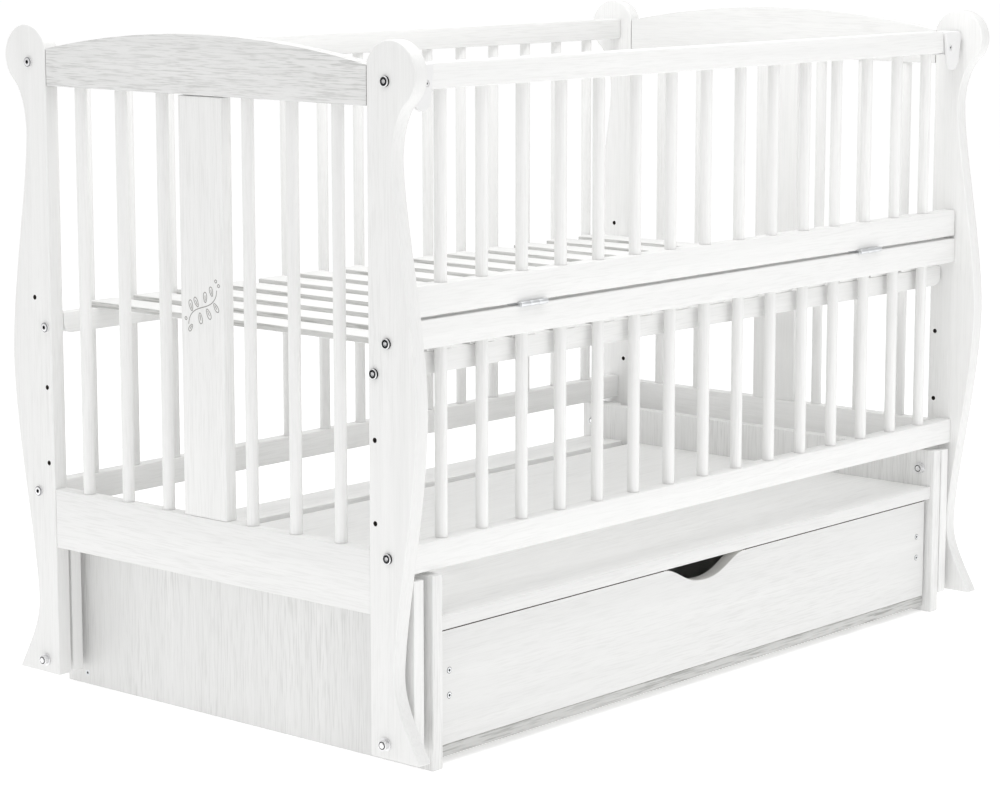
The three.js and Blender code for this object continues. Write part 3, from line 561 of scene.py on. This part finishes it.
end_dowel = dowel(0, END_RAIL_Z[1], ARCH_Z[0])
for end, side in ENDS.items():
    outline = [(-RAIL_END, ARCH_Z[0]), (RAIL_END, ARCH_Z[0])]
    arch_centre = (0, ARCH_Z[1] - ARCH_RADIUS)
    outline += arc(arch_centre, ARCH_RADIUS, 90 - ARCH_ANGLE, 90 + ARCH_ANGLE, 40)
    rail = sawn(outline, "X", [side * x for x in END_X])
    ease_edges(rail, 0.001)
    # The left rail is greyer and shows more grain
    rail.data.materials.append(grey_wood if end == "left" else wood_along["Y"])
    # The rail's ends are painted dark as the shade in the joint line
    refinish(rail, bare_wood_painted_shade, lambda face: abs(face.normal.y) > 0.99)
    stands_for(named(rail, f"arched_top_rail_{end}"), f"end_top_rail_{end}")
    node = f"end_bottom_rail_with_spindles_{end}"
    low = (side * END_X[0], -LEG_EDGE, END_RAIL_Z[0])
    high = (side * END_X[1], LEG_EDGE, END_RAIL_Z[1])
    stands_for(plank(f"bottom_rail_{end}", low, high, "Y"), node)
    for i, y in enumerate(END_YS, 1):
        spindle = copy_of(end_dowel, (side * sum(END_X) / 2, y, 0))
        goes_with(named(spindle, f"end_spindle_{end}_{i}"), node)
bpy.data.objects.remove(end_dowel)


# Centre boards, each with a leafy sprig cut into its outer face
CENTRE_X = (-0.622, -0.604)
CENTRE_HALF_WIDTH = 0.039
# The grooves' middle lies just outside the face, so that they are shallow
GROOVE_X = CENTRE_X[0] - 0.0003
GROOVE_RADIUS = 0.0007


def groove(points, closed):
    """A thin tube along points on the board's face, to cut a groove with."""
    bpy.ops.curve.primitive_bezier_curve_add()
    line = bpy.context.object
    line.data.splines.clear()
    spline = line.data.splines.new("POLY")
    spline.points.add(len(points) - 1)
    for point, (y, z) in zip(spline.points, points):
        point.co = (GROOVE_X, y, z, 1)
    spline.use_cyclic_u = closed
    line.data.bevel_depth = GROOVE_RADIUS
    line.data.bevel_resolution = 1
    line.data.use_fill_caps = True
    hold(line)
    bpy.ops.object.convert(target="MESH")
    tube = bpy.context.object
    bpy.ops.object.transform_apply()
    open_faces(tube, lambda face: True)
    bpy.ops.mesh.select_all(action="SELECT")
    bpy.ops.mesh.remove_doubles(threshold=0.00001)
    bpy.ops.mesh.normals_make_consistent(inside=False)
    close()
    return tube


def leaf(y, z, angle, length, width):
    """An oval leaf with its foot at a point, and the vein along its middle."""
    turn = math.radians(angle)

    def placed(u, v):
        return (
            y + u * math.cos(turn) - v * math.sin(turn),
            z + u * math.sin(turn) + v * math.cos(turn),
        )

    rim = [
        placed(length / 2 * (1 - math.cos(a)), width / 2 * math.sin(a) * (1 - 0.25 * math.cos(a)))
        for a in (math.tau * i / 22 for i in range(22))
    ]
    vein = [placed(length * share, 0) for share in (0.2, 0.45, 0.7)]
    return [groove(rim, True), groove(vein, False)]


def sprig():
    """A stem in a long S with leaves and berries beside it, all clear of each other."""
    stem = [
        (0.026 * math.cos(math.pi * t) - 0.001, 0.530 + 0.047 * t + 0.004 * math.sin(math.tau * t))
        for t in (i / 18 for i in range(19))
    ]
    cuts = [groove(stem, False)]
    # Y and Z of each leaf's foot, the way it points in degrees, its length and its width
    leaves = (
        (0.0185, 0.5475, 75, 0.014, 0.0062),
        (0.0185, 0.5300, -55, 0.0105, 0.0050),
        (0.0075, 0.5535, 62, 0.013, 0.0060),
        (0.0045, 0.5460, -100, 0.014, 0.0062),
        (-0.0060, 0.5600, 88, 0.013, 0.0060),
        (-0.0085, 0.5520, -118, 0.014, 0.0062),
        (-0.0185, 0.5690, 75, 0.012, 0.0055),
        (-0.0215, 0.5600, -128, 0.013, 0.0058),
    )
    for row in leaves:
        cuts += leaf(*row)
    for y, z in ((0.0300, 0.5370), (-0.0305, 0.5830), (-0.0255, 0.5885)):
        cuts.append(groove(arc((y, z), 0.0019, 0, 330, 11), True))
    return joined(*cuts)


board = block(
    (CENTRE_X[0], -CENTRE_HALF_WIDTH, END_RAIL_Z[1]), (CENTRE_X[1], CENTRE_HALF_WIDTH, 0.819)
)
ease_edges(board, 0.0015)
board.data.materials.append(wood_along["Z"])
# The sprig's grooves are grey with painted shade
combine(board, sprig(), finish=groove_painted_shade)
for end, side in ENDS.items():
    piece = copy_of(board, (0, 0, 0), 180 if side > 0 else 0)
    stands_for(named(piece, f"engraved_centre_board_{end}"), f"centre_board_{end}")
bpy.data.objects.remove(board)

# Front and back sides


def side_rail(name, facing, heights, half_length, bolts=None):
    """A rail between the legs, with a hole from below for each barrel nut if its bolts have a height."""
    bottom, top = heights
    near, far = sorted(facing * y for y in SIDE_RAIL_Y)
    rail = block((-half_length, near, bottom), (half_length, far, top))
    ease_edges(rail, 0.002)
    rail.data.materials.append(wood_along["X"])
    if bolts:
        drills = barrel_drills(facing * SIDE_Y, bottom, bolts)
        combine(rail, joined(*drills), finish=bare_wood_painted_shade)
    return named(rail, name)


back_top = side_rail("back_upper_rail", 1, TOP_RAIL_Z, LEG_INNER, HOLE_Z[0])
stands_for(back_top, "back_top_rail")
back_foot = side_rail("back_lower_rail", 1, BOTTOM_RAIL_Z, LEG_INNER, HOLE_Z[2])
node = "back_bottom_rail_with_spindles"
stands_for(back_foot, node)
spindle_row("back", node, SIDE_Y, BOTTOM_RAIL_Z[1], TOP_RAIL_Z[0])
panel_top = side_rail("front_panel_upper_rail", -1, PANEL_RAIL_Z, LEG_INNER, HOLE_Z[1])
stands_for(panel_top, "front_panel_top_rail")
panel_foot = side_rail("front_panel_lower_rail", -1, BOTTOM_RAIL_Z, LEG_INNER, HOLE_Z[2])
node = "front_panel_bottom_rail_with_spindles"
stands_for(panel_foot, node)
spindle_row("front_panel", node, -SIDE_Y, BOTTOM_RAIL_Z[1], PANEL_RAIL_Z[0])

# Slatted base. Its rails have round lower corners
SLAT_RAIL_END, SLAT_RAIL_CORNER = 0.600, 0.014
SLAT_HALF_WIDTH, SLAT_TOP = 0.0225, 0.527
corner_x, corner_z = SLAT_RAIL_END - SLAT_RAIL_CORNER, SLAT_RAIL_Z[0] + SLAT_RAIL_CORNER
for front, facing in FACINGS.items():
    outline = [(SLAT_RAIL_END, SLAT_RAIL_Z[1]), (-SLAT_RAIL_END, SLAT_RAIL_Z[1])]
    outline += arc((-corner_x, corner_z), SLAT_RAIL_CORNER, 180, 270, 10)
    outline += arc((corner_x, corner_z), SLAT_RAIL_CORNER, 270, 360, 10)
    rail = sawn(outline, "Y", [facing * y for y in SLAT_RAIL_Y])
    ease_edges(rail, 0.0012)
    rail.data.materials.append(wood_along["X"])
    drills = barrel_drills(facing * SLAT_RAIL_MIDDLE, SLAT_RAIL_Z[0], SLAT_HOLE_Z[0])
    combine(rail, joined(*drills), finish=bare_wood_painted_shade)
    piece = named(rail, f"slat_rail_{front}")
    if front == "front":
        stands_for(piece, "slatted_base")
    else:
        goes_with(piece, "slatted_base")
for i, x in enumerate(evenly(14, 0.5174), 1):
    low = (x - SLAT_HALF_WIDTH, -SLAT_RAIL_Y[1], SLAT_RAIL_Z[1])
    high = (x + SLAT_HALF_WIDTH, SLAT_RAIL_Y[1], SLAT_TOP)
    slat = plank(f"slat_{i:02d}", low, high, "Y", 0.0018)
    # The slats' sides are grey with painted shade
    refinish(slat, slat_edge_painted_shade, lambda face: abs(face.normal.x) > 0.9)
    goes_with(slat, "slatted_base")

# Gate. Its upper rail has round upper corners and ends at the latches
GATE_RAIL_END, GATE_CORNER = 0.558, 0.009
corner_x, corner_z = GATE_RAIL_END - GATE_CORNER, TOP_RAIL_Z[1] - GATE_CORNER
outline = [(-GATE_RAIL_END, TOP_RAIL_Z[0]), (GATE_RAIL_END, TOP_RAIL_Z[0])]
outline += arc((corner_x, corner_z), GATE_CORNER, 0, 90, 8)
outline += arc((-corner_x, corner_z), GATE_CORNER, 90, 180, 8)
gate_rail = sawn(outline, "Y", (-SIDE_RAIL_Y[1], -SIDE_RAIL_Y[0]))
ease_edges(gate_rail, 0.002)
stands_for(named(gate_rail, "gate_upper_rail", wood_along["X"]), "gate_top_rail")
gate_foot = side_rail("gate_lower_rail", -1, GATE_FOOT_Z, 0.600)
node = "gate_bottom_rail_with_spindles"
stands_for(gate_foot, node)
spindle_row("gate", node, -SIDE_Y, GATE_FOOT_Z[1], TOP_RAIL_Z[0])

# Connector bolts. Each model has its head's seat at X 0 and looks towards +X
HEAD_RADIUS, HEAD_HEIGHT = 0.0065, 0.0035
SOCKET_RADIUS, SOCKET_DEPTH = 0.0029, 0.0024


def bolt_head(face, rim, inside):
    """A round head with a rolled rim and a hexagon socket, from the finish of each."""
    head = rod(HEAD_RADIUS, (0, 0, 0), (HEAD_HEIGHT, 0, 0), 36)
    head.data.materials.append(face)
    head.data.materials.append(rim)
    hold(head)
    bpy.ops.object.mode_set(mode="EDIT")
    bpy.ops.mesh.select_mode(type="EDGE")
    bpy.ops.mesh.select_all(action="DESELECT")
    shape = bmesh.from_edit_mesh(head.data)
    for edge in shape.edges:
        if all(corner.co.x > HEAD_HEIGHT / 2 for corner in edge.verts):
            edge.select_set(True)
    bmesh.update_edit_mesh(head.data)
    bpy.ops.mesh.bevel(offset=0.0011, segments=3, affect="EDGES", material=1)
    close()
    socket_floor = (HEAD_HEIGHT - SOCKET_DEPTH, 0, 0)
    hexagon = rod(SOCKET_RADIUS, socket_floor, (HEAD_HEIGHT + 0.001, 0, 0), 6)
    return combine(head, hexagon, finish=inside)


def bolt_model(shank_end, barrel, *looks):
    """A bolt with its shank to an X, there with a slotted barrel nut if barrel is true."""
    bolt = bolt_head(*looks)
    bolt = combine(bolt, rod(0.003, (shank_end, 0, 0), (0.0005, 0, 0), 20), "UNION", nickel)
    if barrel:
        nut = rod(0.005, (shank_end, 0, -0.007), (shank_end, 0, 0.007), 24)
        ease_edges(nut, 0.0004, 1)
        nut.data.materials.append(nickel)
        slot = block((shank_end - 0.006, -0.0007, -0.008), (shank_end + 0.006, 0.0007, -0.006))
        combine(nut, slot)
        bolt = combine(bolt, nut, "UNION")
    return bolt


def set_bolts(model, rows):
    """Copies of a model into the ends' outer faces: the node, the end's side, Y and Z of each."""
    for node, side, y, z in rows:
        piece = copy_of(model, (side * LEG_OUTER, y, z), 180 if side < 0 else 0)
        stands_for(named(piece, f"nickel_{node}"), node)
    bpy.data.objects.remove(model)


# The front bolts carry a painted dark reflection, and the back ones painted shade on their rims and in
# their sockets. Each look is a face, a rim and a socket
BOLT_LOOKS = {
    "front": (nickel_painted_dark_reflection, nickel_painted_dark_reflection, nickel),
    "back": (nickel, nickel_rim_painted_shade, socket_steel),
}
studs = [(f"latch_stud_{end}", side, -SIDE_Y, HOLE_Z[0]) for end, side in ENDS.items()]
set_bolts(bolt_model(-0.032, False, *BOLT_LOOKS["front"]), studs)
rail_bolts = {"front": [], "back": []}
for end, side in ENDS.items():
    rail_bolts["back"].append((f"top_bolt_back_{end}", side, SIDE_Y, HOLE_Z[0]))
    rail_bolts["front"].append((f"panel_bolt_front_{end}", side, -SIDE_Y, HOLE_Z[1]))
    for front, facing in FACINGS.items():
        rail_bolts[front] += [
            (f"slat_bolt_{front}_{end}", side, facing * SLAT_RAIL_MIDDLE, SLAT_HOLE_Z[0]),
            (f"bottom_bolt_{front}_{end}", side, facing * SIDE_Y, HOLE_Z[2]),
        ]
for front, rows in rail_bolts.items():
    set_bolts(bolt_model(BARREL_X - LEG_OUTER, True, *BOLT_LOOKS[front]), rows)

# Pivots of the links. X runs outwards from the middle of the crib, as on the right end


def lock_nut(face, outwards):
    """A washer, a hexagon nut and the bolt's end, from the face they lie on outwards."""
    washer_end, nut_end = face + outwards * 0.0015, face + outwards * 0.0075
    washer = rod(0.0085, (face, 0, 0), (washer_end, 0, 0), 32)
    ease_edges(washer, 0.0004, 2)
    washer.data.materials.append(nickel)
    nut = rod(0.0072, (washer_end, 0, 0), (nut_end, 0, 0), 6)
    ease_edges(nut, 0.0006, 2)
    nut.data.materials.append(nickel)
    ring = rod(0.0052, (nut_end, 0, 0), (nut_end - outwards * 0.0012, 0, 0), 24)
    # The ring sunk in the nut is painted dark as its shade
    combine(nut, ring, finish=socket_steel)
    tip = rod(0.0039, (nut_end - outwards * 0.002, 0, 0), (face + outwards * 0.0085, 0, 0), 24)
    ease_edges(tip, 0.0005, 1)
    tip.data.materials.append(nickel)
    return joined(washer, nut, tip)


def pivot_model(head, shank, spacer, nut):
    """head, shank and spacer are ranges on X, and nut its face and the way outwards."""
    parts = [
        rod(0.007, (head[0], 0, 0), (head[1], 0, 0), 32),
        rod(0.004, (shank[0], 0, 0), (shank[1], 0, 0), 24),
        rod(0.008, (spacer[0], 0, 0), (spacer[1], 0, 0), 32),
    ]
    for part in parts:
        ease_edges(part, 0.0006, 2)
        part.data.materials.append(nickel)
    return joined(*parts, lock_nut(*nut))


upper = pivot_model(
    head=(0.5933, 0.5983), shank=(0.5400, 0.5945), spacer=(BASE_X[1], 0.5747), nut=(BASE_X[0], -1)
)
lower = pivot_model(
    head=(0.5697, 0.5747), shank=(0.5707, 0.6310), spacer=(0.5933, LEG_INNER), nut=(LEG_OUTER, 1)
)
for model, place, z in ((upper, "upper", PIVOT_Z[1]), (lower, "lower", PIVOT_Z[0])):
    for end, side in ENDS.items():
        for front, facing in FACINGS.items():
            node = f"{place}_pivot_{front}_{end}"
            piece = copy_of(model, (0, facing * PIVOT_Y, z), 180 if side < 0 else 0)
            stands_for(named(piece, f"nickel_{node}"), node)
    bpy.data.objects.remove(model)

# Links
for end, side in ENDS.items():
    for front, facing in FACINGS.items():
        y = facing * PIVOT_Y
        near, far = span_x(side, *LINK_X)
        link = block((near, y - LINK_HALF_WIDTH, LINK_Z[0]), (far, y + LINK_HALF_WIDTH, LINK_Z[1]))
        ease_edges(link, 0.0015)
        link.data.materials.append(wood_along["Z"])
        drills = [drill(0.0044, side, LINK_X, y, z) for z in PIVOT_Z]
        combine(link, joined(*drills), finish=bare_wood_painted_shade)
        stands_for(named(link, f"painted_link_{front}_{end}"), f"link_{front}_{end}")

# Base
SHELF_Z, STRETCHER_Z = (0.174, 0.192), (0.0085, 0.0235)
PANEL_HALF_DEPTH, PANEL_TOP = 0.340, 0.247


def screw_model(rim):
    """A countersunk screw's flush head with its socket painted dark as shade, looking towards +X. A rim is
    a dark ring of painted shade round the head's raised middle."""
    head = rod(0.0042, (-0.030, 0, 0), (0.0003, 0, 0), 28)
    head.data.materials.append(zinc)
    if rim:
        raised = rod(0.0036, (-0.0010, 0, 0), (0.0006, 0, 0), 28)
        raised.data.materials.append(zinc)
        refinish(head, bare_wood_painted_shade, lambda face: face.normal.x > 0.9)
        head = combine(head, raised, "UNION")
    return combine(head, rod(0.0019, (0.0001, 0, 0), (0.001, 0, 0), 6), finish=screw_socket)


for end, side in ENDS.items():
    node = f"base_end_panel_{end}"
    near, far = span_x(side, *BASE_X)
    panel = block((near, -PANEL_HALF_DEPTH, 0), (far, PANEL_HALF_DEPTH, PANEL_TOP))
    ease_edges(panel, 0.0012)
    # The end panels are greyer with painted shade
    panel.data.materials.append(base_wood_painted_shade)
    drills = [
        drill(PIVOT_HOLE, side, BASE_X, facing * PIVOT_Y, PIVOT_Z[1]) for facing in FACINGS.values()
    ]
    combine(panel, joined(*drills), finish=bare_wood_painted_shade)
    stands_for(named(panel, f"painted_base_panel_{end}"), node)
    low, high = (side * 0.515, -0.3097, 0.025), (side * BASE_X[0], 0.334, 0.043)
    goes_with(plank(f"drawer_runner_{end}", low, high, "Y"), node)
    screw = screw_model(False)
    for front, y in (("front", -0.295), ("back", 0.300)):
        piece = copy_of(screw, (side * BASE_X[1], y, sum(STRETCHER_Z) / 2), 180 if side < 0 else 0)
        goes_with(named(piece, f"stretcher_screw_{front}_{end}"), node)
    bpy.data.objects.remove(screw)

for node, name, finish, front_y, back_y, (bottom, top) in (
    # The shelf and its rear rail are whiter with painted light
    ("shelf", "shelf_board", wood_painted_light, -0.335, 0.232, SHELF_Z),
    ("rear_rail", "shelf_rear_rail", wood_painted_light, 0.258, 0.334, SHELF_Z),
    # The stretchers are grey with painted shade
    ("front_stretcher", "front_floor_stretcher", low_wood_painted_shade, -0.325, -0.265, STRETCHER_Z),
    ("rear_stretcher", "rear_floor_stretcher", low_wood_painted_shade, 0.270, 0.330, STRETCHER_Z),
):
    low, high = (-BASE_X[0], front_y, bottom), (BASE_X[0], back_y, top)
    board = plank(name, low, high, "X", 0.0012, finish)
    if node == "shelf":
        # The shelf's front edge is greyer with painted shade
        refinish(board, front_wood_painted_shade, lambda face: face.normal.y < -0.5)
    stands_for(board, node)

# Drawer. Its front has a wave cut out of the top edge, and the groove for its floor runs all round
DRAWER_HALF, DRAWER_BOTTOM, DRAWER_TOP = 0.5425, 0.025, 0.1715
WAVE_HALF, WAVE_BOTTOM = 0.097, 0.1445
DRAWER_FRONT_Y = (-0.328, -0.310)
DRAWER_WALL_Z = (0.0433, 0.1603)
FLOOR_LOW, FLOOR_HIGH = (-0.5193, -0.3153, 0.0520), (0.5193, 0.2423, 0.0566)
outline = [
    (DRAWER_HALF, DRAWER_TOP),
    (DRAWER_HALF, DRAWER_BOTTOM),
    (-DRAWER_HALF, DRAWER_BOTTOM),
    (-DRAWER_HALF, DRAWER_TOP),
    (-WAVE_HALF, DRAWER_TOP),
]
outline += bends(
    outline[-1],
    ((-0.0582, DRAWER_TOP), (-0.0485, WAVE_BOTTOM), (0, WAVE_BOTTOM)),
    ((0.0485, WAVE_BOTTOM), (0.0582, DRAWER_TOP), (WAVE_HALF, DRAWER_TOP)),
    steps=20,
)
drawer_front = sawn(outline, "Y", DRAWER_FRONT_Y)
ease_edges(drawer_front, 0.0012)
# The drawer's front is greyer with painted shade
drawer_front.data.materials.append(front_wood_painted_shade)
# Its upper faces, the cut-out's among them, are grey with painted shade
refinish(drawer_front, top_edge_painted_shade, lambda face: face.normal.z > 0.3)
# The rounded front of the upper edge is painted dark as the shade in the gap under the shelf
refinish(
    drawer_front,
    bare_wood_painted_shade,
    lambda face: 0.2 < face.normal.z < 0.99
    and face.calc_center_median().z > DRAWER_TOP - 0.0013
    and face.calc_center_median().y < DRAWER_FRONT_Y[0] + 0.008,
)
combine(drawer_front, block(FLOOR_LOW, FLOOR_HIGH), finish=bare_wood_painted_shade)
stands_for(named(drawer_front, "drawer_front_board"), "drawer_front")
walls = {
    "drawer_side_left": ((-0.530, DRAWER_FRONT_Y[1]), (-0.514, 0.253), "Y"),
    "drawer_side_right": ((0.514, DRAWER_FRONT_Y[1]), (0.530, 0.253), "Y"),
    "drawer_back_board": ((-0.514, 0.237), (0.514, 0.253), "X"),
}
bottom, top = DRAWER_WALL_Z
for name, (low, high, grain) in walls.items():
    wall = plank(name, (*low, bottom), (*high, top), grain, 0.001)
    combine(wall, block(FLOOR_LOW, FLOOR_HIGH), finish=bare_wood_painted_shade)
    if name == "drawer_back_board":
        stands_for(wall, "drawer_box")
    else:
        goes_with(wall, "drawer_box")
floor_board = block((-0.519, -0.315, 0.0523), (0.519, 0.242, 0.0563))
ease_edges(floor_board, 0.0004, 1)
stands_for(named(floor_board, "drawer_floor_board", fibreboard), "drawer_floor")
screw = screw_model(True)
for end, side in ENDS.items():
    for place, z in (("upper", 0.119), ("lower", 0.087)):
        piece = copy_of(screw, (side * 0.522, DRAWER_FRONT_Y[0], z), -90)
        goes_with(named(piece, f"drawer_screw_{place}_{end}"), "drawer_front")
bpy.data.objects.remove(screw)

# Hinges between the front panel and the gate. The model lies round its axis, with the leaves to the back
HINGE_HALF, KNUCKLE_HALF = 0.0255, 0.0085
HINGE_X, HINGE_Y, HINGE_Z = 0.372, -0.3363, 0.564


def hinge_leaf(low, high, notches, knuckles):
    """A leaf between two heights, with room for the other leaf's knuckles, and its own knuckles."""
    leaf = block((-HINGE_HALF, 0, low), (HINGE_HALF, 0.0215, high))
    ease_edges(leaf, 0.0003, 1)
    leaf.data.materials.append(zinc)
    for start, stop in notches:
        combine(leaf, block((start, -0.005, -0.0038), (stop, 0.0038, 0.0038)))
    for start, stop in knuckles:
        knuckle = rod(0.0035, (start, 0, 0), (stop, 0, 0), 28)
        ease_edges(knuckle, 0.0004, 2)
        knuckle.data.materials.append(zinc)
        leaf = combine(leaf, knuckle, "UNION")
    return leaf


fixed_leaf = hinge_leaf(
    low=-0.002,
    high=-0.0006,
    notches=((-0.030, -KNUCKLE_HALF), (KNUCKLE_HALF, 0.030)),
    knuckles=((-0.0082, 0.0082),),
)
# The pin's hole in the fixed leaf is painted dark as its shade
combine(fixed_leaf, rod(0.0021, (-0.03, 0, 0), (0.03, 0, 0), 20), finish=socket_steel)
gate_leaf = hinge_leaf(
    low=0.0006,
    high=0.002,
    notches=((-0.0088, 0.0088),),
    knuckles=((-HINGE_HALF, -KNUCKLE_HALF), (KNUCKLE_HALF, HINGE_HALF)),
)
gate_leaf = combine(gate_leaf, rod(0.0017, (-0.0252, 0, 0), (0.0252, 0, 0), 20), "UNION", zinc)
for end, side in ENDS.items():
    for model, place in ((fixed_leaf, "fixed"), (gate_leaf, "gate")):
        piece = copy_of(model, (side * HINGE_X, HINGE_Y, HINGE_Z))
        node = f"hinge_{place}_leaf_{end}"
        stands_for(named(piece, f"zinced_{node}"), node)
bpy.data.objects.remove(fixed_leaf)
bpy.data.objects.remove(gate_leaf)

# Latches
LATCH_PIVOT = (0.5685, 0.846)
LATCH_BACK, LATCH_FRONT, LATCH_TOP = -SIDE_RAIL_Y[0], -SIDE_RAIL_Y[1], 0.869
PAWL_BACK, PAWL_FRONT = -0.3108, -0.3175


def latch_block(side, x0, x1, y0, y1, z0, z1):
    """A box on one end, from its two places on each axis."""
    low_x, high_x = span_x(side, x0, x1)
    return block((low_x, y0, z0), (high_x, y1, z1))


def latch_housing(side):
    """The body at the rail's end, with a spigot and a lip, open at the back for the stud and the pawl."""
    body = latch_block(side, 0.5583, 0.598, LATCH_FRONT, LATCH_BACK, TOP_RAIL_Z[0], LATCH_TOP)
    ease_edges(body, 0.0009)
    lip = latch_block(side, 0.551, 0.568, LATCH_FRONT, -0.3178, 0.8354, 0.8377)
    ease_edges(lip, 0.0005, 2)
    combine(body, latch_block(side, 0.5590, 0.5675, -0.3320, -0.3185, 0.8370, 0.8390), "UNION")
    combine(body, lip, "UNION")
    spigot = rod(0.004, (side * 0.5405, -SIDE_Y, 0.860), (side * 0.560, -SIDE_Y, 0.860), 24)
    combine(body, spigot, "UNION")
    combine(body, latch_block(side, 0.591, 0.602, -0.3255, -0.309, 0.8465, 0.8545))
    combine(body, latch_block(side, 0.5627, 0.602, -0.3178, -0.309, 0.836, 0.8511))
    x, z = side * LATCH_PIVOT[0], LATCH_PIVOT[1]
    return combine(body, rod(0.0034, (x, -0.334, z), (x, -0.309, z), 24))


def latch_lever(side):
    """The plate with a round foot and a round outer corner, its pin and its pawl."""
    foot = arc((0.576, 0.828), 0.015, 185.5, 349.8, 32)
    shoulder = arc((0.588, 0.860), 0.009, 0, 90, 8)
    outline = [(side * x, z) for x, z in [*foot, *shoulder, (0.557, LATCH_TOP)]]
    plate = sawn(outline, "Y", (-0.3378, -0.3328))
    ease_edges(plate, 0.0012)
    x, z = side * LATCH_PIVOT[0], LATCH_PIVOT[1]
    combine(plate, rod(0.0042, (x, -0.340, z), (x, -0.3366, z), 32))
    combine(plate, rod(0.003, (x, -0.334, z), (x, PAWL_BACK, z), 24), "UNION")
    combine(plate, rod(0.0048, (x, PAWL_FRONT, z), (x, PAWL_BACK, z), 24), "UNION")
    pawl = latch_block(side, LATCH_PIVOT[0], 0.599, PAWL_FRONT, PAWL_BACK, 0.8417, 0.8457)
    ease_edges(pawl, 0.0005, 2)
    return combine(plate, pawl, "UNION")


def latch_screw(side):
    """The screw that the lever turns on, sunk in its ring."""
    x, z = side * LATCH_PIVOT[0], LATCH_PIVOT[1]
    head = rod(0.0034, (x, -0.3374, z), (x, -0.3362, z), 28)
    ease_edges(head, 0.0004, 2)
    head.data.materials.append(nickel)
    return combine(head, rod(0.0015, (x, -0.338, z), (x, -0.3367, z), 6), finish=socket_steel)


for end, side in ENDS.items():
    housing, lever = f"latch_housing_{end}", f"latch_lever_{end}"
    for node, part in ((housing, latch_housing), (lever, latch_lever)):
        stands_for(named(part(side), f"moulded_{node}", plastic), node)
    goes_with(named(latch_screw(side), f"latch_screw_{end}"), lever)

# Studio: a white floor under a bright even sky, with a large soft box overhead, one at the front and a
# small one that lights the inside of the crib
bpy.ops.mesh.primitive_plane_add(size=60)
studio_floor = bpy.context.object
studio_floor.name = "studio_floor"
floor_finish, tree = new_finish("white_studio_floor")
# It is lit from below too, like a light table, so that it stays white round the crib
glow = {"Emission_Color": linear("#ffffff"), "Emission_Strength": 0.35}
surface(tree, Base_Color=linear("#fdfdfd"), Roughness=0.9, **glow)
studio_floor.data.materials.append(floor_finish)

sky = bpy.data.worlds.new("studio_sky")
bpy.context.scene.world = sky
sky.use_nodes = True
background = sky.node_tree.nodes["Background"]
background.inputs["Color"].default_value = (1, 1, 1, 1)
background.inputs["Strength"].default_value = 0.68


def soft_box(name, place, target, size, power):
    """A square soft light that points from its place to a target."""
    light = bpy.data.lights.new(name, "AREA")
    light.size = size
    light.energy = power
    box = bpy.data.objects.new(name, light)
    box.location = place
    box.rotation_euler = (Vector(target) - box.location).to_track_quat("-Z", "Y").to_euler()
    bpy.context.scene.collection.objects.link(box)


soft_box("overhead_soft_box", (0, 0, 3.2), (0, 0, 0), 4, 50)
soft_box("front_soft_box", (1.2, -5.0, 1.3), (0, 0, 0.4), 2.4, 16)
soft_box("inner_soft_box", (-0.5, -0.28, 2.1), (0.55, 0.3, 0.6), 0.5, 6.5)
bpy.context.scene.view_settings.view_transform = "Standard"
